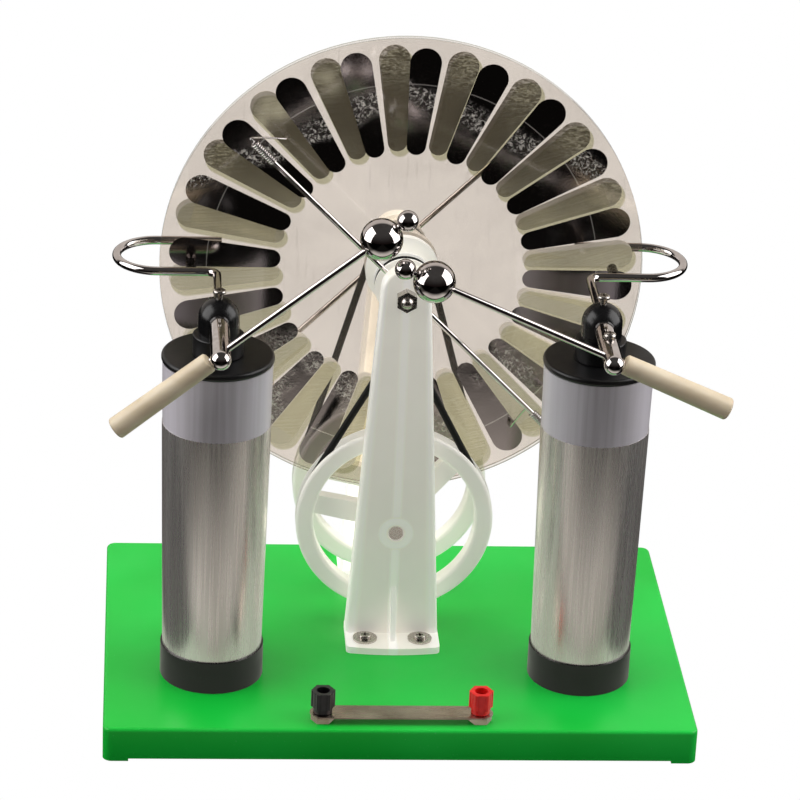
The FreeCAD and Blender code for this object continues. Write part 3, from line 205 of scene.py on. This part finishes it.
PRINCIPLED_INPUTS = {
    "color": "Base Color", "rough": "Roughness", "metal": "Metallic", "normal": "Normal",
    "spec": "Specular IOR Level", "coat": "Coat Weight", "coat_rough": "Coat Roughness",
    "sss": "Subsurface Weight", "sss_radius": "Subsurface Radius", "sss_scale": "Subsurface Scale",
    "glow": "Emission Color", "glow_strength": "Emission Strength",
}


def principled(graph, **inputs):
    """Principled shader with short names for the inputs that are used here."""
    return graph.add("BsdfPrincipled", {PRINCIPLED_INPUTS[key]: value for key, value in inputs.items()})


# ---- plastics
def green_plastic(g):
    """Glossy moulded plastic; at a slant it glows pale to glossy rays, a painted reflection of a bright room.
    """
    cloud = g.noise(9.0, 2.0)
    color = g.mix(g.ramp(cloud, 0.35, 0.68), srgb(18, 190, 58), srgb(28, 202, 70))
    speck = g.ramp(g.noise(900.0, 1.0), 0.74, 0.80)
    color = g.mix(g.math("MULTIPLY", speck, 0.35), color, srgb(120, 215, 140))
    rough = g.ramp(g.noise(40.0, 4.0), 0.3, 0.7, 0.30, 0.40)
    normal = g.bump(g.noise(1400.0, 2.0), 0.00002, 0.5)
    plastic = principled(g, color=color, rough=rough, normal=normal, spec=0.3)
    # painted reflection: at a slant the plastic glows pale, and only mirrors see it, standing in for a bright
    # room
    painted_reflection_share = g.ramp(g.slant(), 0.05, 0.50, 0.35, 0.85)
    mirrored = g.math("MULTIPLY", g.add("LightPath").outputs["Is Glossy Ray"], painted_reflection_share)
    sheen = g.add("Emission", {"Color": (0.60, 0.60, 0.54, 1), "Strength": 1.0})
    return g.add("MixShader", {0: mirrored, 1: plastic.outputs[0], 2: sheen.outputs[0]})


def milky_plastic(g, post, glow):
    """Translucent plastic with a painted glow standing in for light through it from behind; a post is paler
    along its walls, rib and axle boss.
    """
    cloud = g.noise(14.0, 3.0)
    color = g.mix(g.ramp(cloud, 0.35, 0.7), srgb(230, 228, 219), srgb(240, 239, 231))
    if post:
        x, _, z = g.axes(g.place())
        across = g.math("ABSOLUTE", x)
        half = g.ramp(z, POST_FOOT_Z * MM, POST_TOP_Z * MM, POST_FOOT_HALF_W * MM, POST_TOP_HALF_W * MM,
                      smooth=False)
        wall = g.ramp(g.math("DIVIDE", across, half), 0.70, 0.92, 0.0, 0.8)
        from_boss = g.length(x, g.math("SUBTRACT", z, DRIVE_AXLE_Z * MM))
        fade = g.ramp(z, POST_RIB_Z[0] * MM, POST_RIB_Z[1] * MM, 0.9, 0.45)
        rib = g.math("MULTIPLY", g.ramp(across, 0.0008, 0.0036, 1.0, 0.0), fade)
        rib = g.math("MULTIPLY", rib, g.ramp(from_boss, 0.008, 0.012))
        from_rim = g.math("ABSOLUTE", g.math("SUBTRACT", from_boss, BOSS_RIM_R * MM))
        boss = g.ramp(from_rim, 0.0008, 0.0032, 0.8, 0.0)
        pale = g.math("MAXIMUM", g.math("MAXIMUM", wall, rib), boss)
        between = g.mix(0.5, color, srgb(222, 216, 200), "MULTIPLY")
        color = g.mix(pale, between, srgb(246, 245, 240))
    rough = g.ramp(g.noise(60.0, 3.0), 0.3, 0.7, 0.28, 0.40)
    normal = g.bump(g.noise(700.0, 3.0), 0.00002, 0.4)
    # painted light: a steady pale emission lights the plastic as if from behind
    return principled(g, color=color, rough=rough, normal=normal, sss=0.12, sss_radius=(1.0, 1.0, 0.8),
                      sss_scale=0.003, coat=0.1, coat_rough=0.15, glow=(0.92, 0.90, 0.86, 1),
                      glow_strength=glow)


def black_plastic(g, low, high):
    smear = g.noise(55.0, 4.0)
    rough = g.ramp(smear, 0.3, 0.7, low, high)
    dust = g.ramp(g.noise(1500.0, 1.0), 0.70, 0.80)
    color = g.mix(g.math("MULTIPLY", dust, 0.5), srgb(12, 12, 13), srgb(60, 60, 62))
    normal = g.bump(g.noise(1100.0, 2.0), 0.00002, 0.5)
    return principled(g, color=color, rough=rough, normal=normal)


def cream_plastic(g):
    along = g.noise(30.0, 3.0, g.scaled(g.place(), (1.0, 1.0, 3.0)))
    color = g.mix(g.ramp(along, 0.3, 0.7), srgb(208, 192, 164), srgb(220, 206, 180))
    normal = g.bump(g.noise(900.0, 2.0), 0.00003, 0.5)
    return principled(g, color=color, rough=g.ramp(along, 0.3, 0.7, 0.28, 0.40), normal=normal, sss=0.15,
                      sss_radius=(1.0, 0.8, 0.5), sss_scale=0.003)


def cap_plastic(g, dark, light):
    color = g.mix(g.ramp(g.noise(120.0, 3.0), 0.35, 0.7), dark, light)
    normal = g.bump(g.noise(900.0, 3.0), 0.00003, 0.6)
    return principled(g, color=color, rough=0.33, normal=normal)


def jar_band(g):
    """Milky jar wall: painted shade makes it greyer where it faces the eye and paler where it turns edge-on,
    with faint vertical drawing lines.
    """
    streak = g.noise(1.0, 3.0, g.scaled(g.place(), (320.0, 320.0, 4.0)))
    # painted shade and light: grey where the wall faces the eye, pale where it turns edge-on
    edge = g.mix(g.side_on(), srgb(112, 108, 110), srgb(212, 208, 216))
    color = g.mix(g.ramp(streak, 0.3, 0.7, 0.0, 0.25), edge, srgb(222, 219, 230))
    normal = g.bump(streak, 0.00003, 0.5)
    return principled(g, color=color, rough=0.26, normal=normal)


def belt_rubber(g):
    weave = g.noise(1600.0, 2.0)
    color = g.mix(g.ramp(weave, 0.4, 0.7), srgb(9, 10, 10), srgb(24, 25, 24))
    return principled(g, color=color, rough=0.6, normal=g.bump(weave, 0.0001, 0.6), spec=0.3)


# ---- clear discs
def foil_shape(g, first_angle, shift_x, shift_z, soft):
    """1 inside the outline of every foil of a disc, moved by a shift in millimetres, with a soft edge."""
    radius, angle = g.around_axle(shift_x, shift_z)
    half_pitch = math.pi / SECTOR_COUNT
    turn = g.math("WRAP", g.math("SUBTRACT", angle, math.radians(first_angle)), half_pitch, -half_pitch)
    along = g.math("MULTIPLY", radius, g.math("COSINE", turn))
    aside = g.math("MULTIPLY", radius, g.math("SINE", turn))
    share = g.ramp(along, SECTOR_ROOT_AT * MM, SECTOR_TIP_AT * MM, smooth=False)
    centre = g.math("MULTIPLY_ADD", share, (SECTOR_TIP_AT - SECTOR_ROOT_AT) * MM, SECTOR_ROOT_AT * MM)
    half = g.math("MULTIPLY_ADD", share, (SECTOR_TIP_R - SECTOR_ROOT_R) * MM, SECTOR_ROOT_R * MM)
    outside = g.math("SUBTRACT", g.length(g.math("SUBTRACT", along, centre), aside), half)
    return g.ramp(outside, 0.0, soft * MM, 1.0, 0.0)


def disc_acrylic(g, rear):
    """Clear tinted sheet with hazy faces and a greenish edge; in the rear disc a painted shade repeats each
    foil's outline, shifted.

    Its gloss rises at a slant by LayerWeight: Fresnel would turn the sheet's back faces into black mirrors.
    """
    _, facing, _ = g.axes(g.add("NewGeometry").outputs["Normal"])
    edge = g.ramp(g.math("ABSOLUTE", facing), 0.3, 0.7, 1.0, 0.0)
    smear = g.noise(26.0, 4.0, rough=0.6, distortion=0.6)
    tint = g.mix(g.ramp(smear, 0.3, 0.75), srgb(250, 247, 244), srgb(247, 244, 241))
    if rear:
        # painted shade: a darker olive copy of each rear foil's outline, moved right and down
        tint = g.mix(foil_shape(g, REAR_SECTOR_ANGLE, *PAINTED_FOIL_SHADE_SHIFT, 0.9), tint, srgb(224, 222, 206))
    clear = g.add("BsdfTransparent", {"Color": g.mix(edge, tint, srgb(176, 182, 168))})
    scratch = g.ramp(g.noise(1.0, 2.0, g.scaled(g.place(), (420.0, 1.0, 30.0))), 0.60, 0.72)
    haze = principled(g, color=srgb(214, 207, 199), rough=0.4)
    amount = g.math("ADD", g.math("MULTIPLY", scratch, 0.02), g.math("MULTIPLY", edge, 0.30))
    body = g.add("MixShader", {0: g.math("ADD", amount, 0.035), 1: clear.outputs[0], 2: haze.outputs[0]})
    gloss = g.add("BsdfGlossy", {"Roughness": 0.03, "Color": WHITE})
    sheen = g.math("MULTIPLY_ADD", g.math("POWER", g.slant(), 5.0), 0.9, 0.03)
    return g.add("MixShader", {0: sheen, 1: body.outputs[0], 2: gloss.outputs[0]})


# ---- metals
def crinkle(g):
    """Fine sharp facets of a creased foil, from 0 to 1."""
    fine = g.noise(520.0, 5.0, rough=0.7, distortion=0.8)
    return g.ramp(fine, 0.46, 0.62)


def front_foil(g):
    """Mirror-like foil: a thin ring pressed in near its tip, and a painted highlight drawn in pale colour on a
    crinkled belt and on patches low down.
    """
    radius, _ = g.around_axle()
    x, _, z = g.axes(g.place())
    # painted highlight: a pale, less metallic crinkled band across the foils, and pale patches low down
    belt_z = g.math("MULTIPLY_ADD", g.math("ABSOLUTE", x), LIT_BELT_SLOPE, (DISC_Z + LIT_BELT_RISE) * MM)
    wander = g.math("MULTIPLY_ADD", g.noise(22.0, 2.0), 0.030, -0.015)
    away = g.math("ABSOLUTE", g.math("SUBTRACT", g.math("ADD", z, wander), belt_z))
    belt = g.ramp(away, 0.003, 0.010, 1.0, 0.0)
    low = g.math("MULTIPLY", g.ramp(z, (DISC_Z - 60) * MM, (DISC_Z - 20) * MM, 1.0, 0.0),
                 g.ramp(g.noise(34.0, 2.0), 0.50, 0.64))
    belt = g.math("MAXIMUM", belt, g.math("MULTIPLY", low, 0.8))
    lit = g.math("MULTIPLY", belt, crinkle(g))
    from_ring = g.math("ABSOLUTE", g.math("SUBTRACT", radius, PRESSED_RING_R * MM))
    ring = g.ramp(from_ring, 0.0001, 0.0006, 0.5, 0.0)
    color = g.mix(g.math("MAXIMUM", lit, ring), srgb(160, 152, 150), srgb(246, 240, 232))
    dull = g.math("MAXIMUM", g.math("MULTIPLY", lit, 0.75), g.math("MULTIPLY", ring, 0.6))
    metal = g.math("SUBTRACT", 1.0, dull)
    normal = g.bump(g.noise(30.0, 2.0), 0.0008, 0.2)
    creases = g.math("MULTIPLY", g.noise(620.0, 4.0, rough=0.65), g.math("MULTIPLY_ADD", belt, 1.0, 0.08))
    normal = g.bump(creases, 0.0005, 0.5, normal)
    return principled(g, color=color, metal=metal, rough=0.10, normal=normal)


def rear_foil(g):
    """Dull side of the foil, seen through the plastic: olive and stained, its tip wrinkled; a painted glow
    makes it paler lower down, on the stains and on the wrinkled tip.
    """
    radius, _ = g.around_axle()
    _, _, z = g.axes(g.place())
    wander = g.math("MULTIPLY_ADD", g.noise(24.0, 3.0, rough=0.6), 0.05, -0.025)
    low = g.ramp(g.math("ADD", z, wander), (DISC_Z + 80) * MM, (DISC_Z - 30) * MM)
    stain_and_glow = g.ramp(g.noise(20.0, 3.0, rough=0.6), 0.52, 0.74)
    wrinkle = g.noise(1.0, 3.0, g.scaled(g.place(), (300.0, 300.0, 900.0)), 0.6, 1.0)
    tip = g.math("MULTIPLY", g.ramp(radius, 0.100, 0.122), g.ramp(wrinkle, 0.40, 0.66))
    # painted light: lower down, on stained patches and on the wrinkled tip the foil is paler and glows
    lit = g.math("MAXIMUM", g.math("MAXIMUM", stain_and_glow, low), g.math("MULTIPLY", tip, 0.6))
    color = g.mix(lit, srgb(172, 166, 148), srgb(232, 230, 222))
    normal = g.bump(wrinkle, 0.0004, 0.35)
    glow = g.mix(lit, (0.050, 0.046, 0.038, 1), (0.50, 0.50, 0.475, 1))
    metal = g.ramp(lit, 0.0, 1.0, 0.5, 0.1)
    return principled(g, color=color, metal=metal, rough=0.36, normal=normal, glow=glow, glow_strength=1.0)


def jar_foil(g):
    """Aluminium sheet wrapped round a jar, with fine vertical drawing lines and a few soft dents."""
    fine = g.noise(1.0, 4.0, g.scaled(g.place(), (900.0, 900.0, 7.0)))
    broad = g.noise(1.0, 2.0, g.scaled(g.place(), (45.0, 45.0, 3.0)))
    color = g.mix(g.ramp(broad, 0.3, 0.7), srgb(212, 207, 202), srgb(236, 232, 228))
    rough = g.ramp(fine, 0.3, 0.7, 0.22, 0.34)
    normal = g.bump(broad, 0.0008, 0.3)
    normal = g.bump(fine, 0.00004, 0.25, normal)
    return principled(g, color=color, metal=0.82, rough=rough, normal=normal)


def chrome(g):
    smear = g.noise(150.0, 4.0, rough=0.6)
    color = g.mix(g.ramp(smear, 0.35, 0.75), srgb(214, 208, 206), srgb(232, 228, 226))
    rough = g.ramp(smear, 0.3, 0.75, 0.03, 0.09)
    return principled(g, color=color, metal=1.0, rough=rough, normal=g.bump(smear, 0.00002, 0.4))


def turned_steel(g, color_low, color_high):
    """Machined metal with fine tool marks and dark specks."""
    marks = g.noise(1.0, 3.0, g.scaled(g.place(), (2200.0, 500.0, 2200.0)))
    spots = g.ramp(g.noise(1300.0, 2.0), 0.60, 0.72)
    color = g.mix(g.ramp(marks, 0.3, 0.7), color_low, color_high)
    color = g.mix(g.math("MULTIPLY", spots, 0.6), color, srgb(70, 62, 56))
    return principled(g, color=color, metal=1.0, rough=g.ramp(marks, 0.3, 0.7, 0.16, 0.32),
                      normal=g.bump(marks, 0.00003, 0.5))


def nickel_strap(g):
    grain = g.noise(1.0, 3.0, g.scaled(g.place(), (18.0, 1500.0, 400.0)))
    blotch = g.noise(38.0, 3.0)
    color = g.mix(g.ramp(blotch, 0.3, 0.7), srgb(150, 132, 120), srgb(196, 180, 166))
    return principled(g, color=color, metal=1.0, rough=g.ramp(grain, 0.3, 0.7, 0.2, 0.34),
                      normal=g.bump(grain, 0.00004, 0.5))


def brass(g):
    marks = g.noise(1.0, 3.0, g.scaled(g.place(), (900.0, 900.0, 200.0)))
    color = g.mix(g.ramp(marks, 0.3, 0.7), srgb(176, 142, 72), srgb(214, 184, 112))
    return principled(g, color=color, metal=1.0, rough=g.ramp(marks, 0.3, 0.7, 0.2, 0.34),
                      normal=g.bump(marks, 0.00003, 0.5))


def tinsel(g):
    color = g.mix(g.ramp(g.noise(2600.0, 2.0), 0.35, 0.7), srgb(150, 142, 128), srgb(226, 220, 208))
    normal = g.bump(g.noise(3000.0, 1.0), 0.00004, 0.5)
    return principled(g, color=color, metal=1.0, rough=0.28, normal=normal)


BY_SLOT = {
    "base_plastic": material("green_base", green_plastic),
    # painted light: the milky pieces glow at the strength given last
    "milky_plastic": material("milky", lambda g: milky_plastic(g, False, 0.22)),
    "disc_acrylic": material("clear_disc", lambda g: disc_acrylic(g, False)),
    "jar_plastic": material("jar_wall", jar_band),
    "foil": material("front_foil", front_foil),
    "jar_foil": material("jar_foil", jar_foil),
    "black_plastic": material("satin_black", lambda g: black_plastic(g, 0.30, 0.42)),
    "belt_rubber": material("belt", belt_rubber),
    "chrome": material("chrome", chrome),
    "steel": material("turned_steel", lambda g: turned_steel(g, srgb(190, 184, 176), srgb(216, 210, 204))),
    "nickel": material("nickel", nickel_strap),
    "brass": material("brass", brass),
    "tinsel": material("tinsel", tinsel),
    "cream_plastic": material("cream", cream_plastic),
    "grip_plastic": material("grip", lambda g: black_plastic(g, 0.22, 0.34)),
    "black_cap_plastic": material("black_cap", lambda g: cap_plastic(g, srgb(16, 16, 18), srgb(34, 34, 37))),
    "red_cap_plastic": material("red_cap", lambda g: cap_plastic(g, srgb(214, 14, 16), srgb(236, 34, 30))),
}
BY_NODE = {
    # painted light: the posts glow more, the rear post most, so it shows pale through the discs
    "front_post": material("milky_post", lambda g: milky_plastic(g, True, 0.29)),
    "rear_post": material("milky_rear_post", lambda g: milky_plastic(g, True, 0.75)),
    "rear_disc": material("clear_rear_disc", lambda g: disc_acrylic(g, True)),
    "rear_sectors": material("rear_foil", rear_foil),
    "collector_combs": material(
        "dark_chrome", lambda g: turned_steel(g, srgb(70, 66, 64), srgb(104, 98, 95))),
    "left_jar_dome": material("gloss_black", lambda g: black_plastic(g, 0.20, 0.30)),
}
BY_NODE["right_jar_dome"] = BY_NODE["left_jar_dome"]

for entry in frame["record"]["subparts"]:
    node = NODES[entry["node"]]
    finish = BY_NODE.get(entry["node"]) or BY_SLOT[entry["material_slot"]]
    if not node.material_slots:
        node.data.materials.append(finish)
    for place in node.material_slots:
        place.material = finish


# ---- brushes: a coil on each rod end, its wire and a tuft of tinsel
def polar(radius, degrees, y):
    """Point at an angle round the disc axle, in millimetres."""
    angle = math.radians(degrees)
    return Vector((radius * math.cos(angle), y, DISC_Z + radius * math.sin(angle)))


def tube(points, radii, sides=8):
    """Vertices and faces of a round tube along points."""
    vertices, faces = [], []
    side = None
    for i, point in enumerate(points):
        ahead = points[min(i + 1, len(points) - 1)] - points[max(i - 1, 0)]
        ahead.normalize()
        if side is None:
            side = ahead.orthogonal().normalized()
        side = (side - ahead * side.dot(ahead)).normalized()
        other = ahead.cross(side)
        for k in range(sides):
            turn = 2 * math.pi * k / sides
            vertices.append(point + (side * math.cos(turn) + other * math.sin(turn)) * radii[i])
    for i in range(len(points) - 1):
        for k in range(sides):
            a, b = i * sides + k, i * sides + (k + 1) % sides
            faces.append((a, b, b + sides, a + sides))
    last = (len(points) - 1) * sides
    faces.append(tuple(range(sides))[::-1])
    faces.append(tuple(last + k for k in range(sides)))
    return vertices, faces


def smooth_path(points, steps=6):
    """Catmull-Rom curve through points."""
    ends = [points[0] * 2 - points[1]] + points + [points[-1] * 2 - points[-2]]
    path = []
    for a, b, c, d in zip(ends, ends[1:], ends[2:], ends[3:]):
        for s in range(steps):
            t = s / steps
            path.append(0.5 * ((2 * b) + (c - a) * t + (2 * a - 5 * b + 4 * c - d) * t * t
                               + (3 * b - a - 3 * c + d) * t ** 3))
    return path + [points[-1]]


def piece(name, parts, finish, body, nodes=(), flip=False):
    """One mesh piece from (vertices, faces) parts in millimetres; flip turns it half round, to the back."""
    vertices, faces = [], []
    for part_vertices, part_faces in parts:
        start = len(vertices)
        vertices += part_vertices
        faces += [tuple(start + i for i in face) for face in part_faces]
    if flip:
        vertices = [Vector((-v.x, 2 * DISC_Y - v.y, v.z)) for v in vertices]
    mesh = bpy.data.meshes.new(name)
    mesh.from_pydata([v * MM for v in vertices], [], faces)
    mesh.polygons.foreach_set("use_smooth", [True] * len(mesh.polygons))
    mesh.materials.append(finish)
    made = bpy.data.objects.new(name, mesh)
    bpy.context.scene.collection.objects.link(made)
    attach(made, body)
    if nodes:
        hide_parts(*nodes)
    return made


def coil(turn, from_outer_end, tuft_place):
    """Spring wound on a rod end, running on into the wire that holds the tuft."""
    angle = NEUTRAL_ANGLE + turn
    start = polar(COIL_AT_R, angle, NEUTRAL_Y)
    out = (start - polar(0, angle, NEUTRAL_Y)).normalized()
    back = Vector((0, 1, 0))
    across = out.cross(back)
    ring = NEUTRAL_ROD_R + COIL_WIRE_R + COIL_GAP
    pitch = (COIL_L - 2 * COIL_WIRE_R) / COIL_TURNS
    points = []
    for i in range(COIL_TURNS * COIL_STEPS + 1):
        share = i / COIL_STEPS
        turned = 2 * math.pi * share + math.pi / 2
        points.append(start + out * (COIL_WIRE_R + share * pitch)
                      + across * (ring * math.cos(turned)) + back * (ring * math.sin(turned)))
    if not from_outer_end:
        points.reverse()
        out = -out
    radius, degrees = tuft_place
    touch = polar(radius, degrees, SECTOR_FACE_Y - TUFT_GAP)
    top = touch - Vector((0, TUFT_L, 0))
    leave = points[-1]
    knee = leave + out * KNEE_OUT + back * KNEE_BACK
    reach = top - knee
    leg = [leave, knee, knee + reach * 0.25 + out * 0.6, knee + reach * 0.75]
    leg += [top - back * 1.2, top + back * 1.0]
    points += smooth_path(leg)[1:]
    return tube(points, [COIL_WIRE_R] * len(points)), touch, top


def tuft(touch, top, seed):
    """Strands that spread from the wire's end to the foil."""
    chance = random.Random(seed)
    parts = []
    for _ in range(STRAND_COUNT):
        turn, spread = chance.uniform(0, 2 * math.pi), STRAND_SPREAD * math.sqrt(chance.random())
        shorter = chance.uniform(0.0, STRAND_SHORTER)
        end = touch + Vector((spread * math.cos(turn), -shorter, spread * math.sin(turn)))
        middle = top.lerp(end, 0.5) + Vector((chance.uniform(-0.4, 0.4), 0, chance.uniform(-0.4, 0.4)))
        path = smooth_path([top + Vector((0, 0.2, 0)), middle, end], 4)
        parts.append(tube(path, [STRAND_R] * len(path), 5))
    collar = [top + Vector((0, d, 0)) for d in (-0.6, -0.2, 0.5, 1.1)]
    parts.append(tube(collar, [0.4, 0.62, 0.62, 0.42], 10))
    return parts


for end, flip in (("front", False), ("rear", True)):
    coils, tufts = [], []
    for turn, outer, place, seed in ((0, True, UPPER_TUFT, 3), (180, False, LOWER_TUFT, 5)):
        wire, touch, top = coil(turn, outer, place)
        coils.append(wire)
        tufts += tuft(touch, top, seed)
    body, replaced = end + "_neutralizer", [end + "_brushes"]
    piece(end + "_brush_coils", coils, BY_SLOT["chrome"], body, replaced, flip)
    piece(end + "_brush_tufts", tufts, BY_SLOT["tinsel"], body, (), flip)


# ---- floor, light and camera
def floor_shader(g):
    """White to the eye; in mirrors and as light it is a beige table top with a painted shadow close to the
    machine.
    """
    x, y, _ = g.axes(g.place())
    beside = g.ramp(g.math("ABSOLUTE", x), *TABLE_SIDE, 1.0, 0.12)
    before = g.ramp(y, *TABLE_FRONT, 0.01, 1.0)
    # painted shadow: the table top darkens close to the base
    shade = g.ramp(y, *BASE_SHADE, 1.0, 0.05)
    lit = g.math("MULTIPLY", g.math("MULTIPLY", beside, before), shade)
    top = g.mix(lit, BLACK, (0.66, 0.62, 0.57, 1))
    seen = g.mix(g.add("LightPath").outputs["Is Camera Ray"], top, WHITE)
    return g.add("Emission", {"Color": seen, "Strength": 1.0})


def make_floor():
    mesh = bpy.data.meshes.new("floor")
    corners = [(x * FLOOR_HALF, y * FLOOR_HALF, 0) for x, y in ((-1, -1), (1, -1), (1, 1), (-1, 1))]
    mesh.from_pydata(corners, [], [(0, 1, 2, 3)])
    mesh.materials.append(material("floor", floor_shader))
    floor = bpy.data.objects.new("floor", mesh)
    floor.location.z = CAD_BOX[0].z - FLOOR_BELOW
    bpy.context.scene.collection.objects.link(floor)


def softbox(name, place, target, width, height, watts, mirrored):
    """Area light; it shows in mirrors only where mirrored is true."""
    light = bpy.data.lights.new(name, "AREA")
    light.shape, light.size, light.size_y = "RECTANGLE", width, height
    light.energy, light.color = watts, LAMP_COLOR
    lamp = bpy.data.objects.new(name, light)
    lamp.location = place
    lamp.rotation_euler = (Vector(target) - Vector(place)).to_track_quat("-Z", "Y").to_euler()
    lamp.visible_glossy = mirrored
    bpy.context.scene.collection.objects.link(lamp)


def make_world():
    """White to the eye; in mirrors and as light it is a dark room with a pale wall behind the machine."""
    world = bpy.data.worlds.new("studio")
    world.use_nodes = True
    world.node_tree.nodes.clear()
    g = Graph(world.node_tree)
    _, y, z = g.axes(g.add("TexCoord").outputs["Generated"])
    wall = g.ramp(y, 0.40, 0.62)
    dark = g.mix(g.ramp(z, -0.1, 0.8), (0.008, 0.005, 0.005, 1), (0.055, 0.052, 0.050, 1))
    room = g.mix(wall, dark, (0.60, 0.55, 0.51, 1))
    seen = g.mix(g.add("LightPath").outputs["Is Camera Ray"], room, WHITE)
    back = g.add("Background", {"Color": seen, "Strength": 1.0})
    g.add("OutputWorld", {"Surface": back.outputs[0]})
    bpy.context.scene.world = world


def make_camera():
    """Camera found by fitting the machine's own measures to the picture."""
    yaw, pitch, roll = (math.radians(a) for a in (YAW, PITCH, ROLL))
    forward = Vector((math.sin(yaw) * math.cos(pitch), math.cos(yaw) * math.cos(pitch), -math.sin(pitch)))
    level = Vector((math.cos(yaw), -math.sin(yaw), 0))
    above = level.cross(forward)
    right = level * math.cos(roll) + above * math.sin(roll)
    up = -level * math.sin(roll) + above * math.cos(roll)
    data = bpy.data.cameras.new("camera")
    data.sensor_width = SENSOR_W
    data.lens = SENSOR_W * FOCAL_PX / PHOTO_PX
    data.clip_end = 20.0
    camera = bpy.data.objects.new("camera", data)
    place = Vector(CAMERA_AT) * MM
    camera.matrix_world = Matrix.Translation(place) @ Matrix((right, up, -forward)).transposed().to_4x4()
    bpy.context.scene.collection.objects.link(camera)
    bpy.context.scene.camera = camera


make_floor()
make_world()
for lamp in LAMPS:
    softbox(*lamp)
make_camera()
bpy.context.scene.view_settings.view_transform = "Standard"
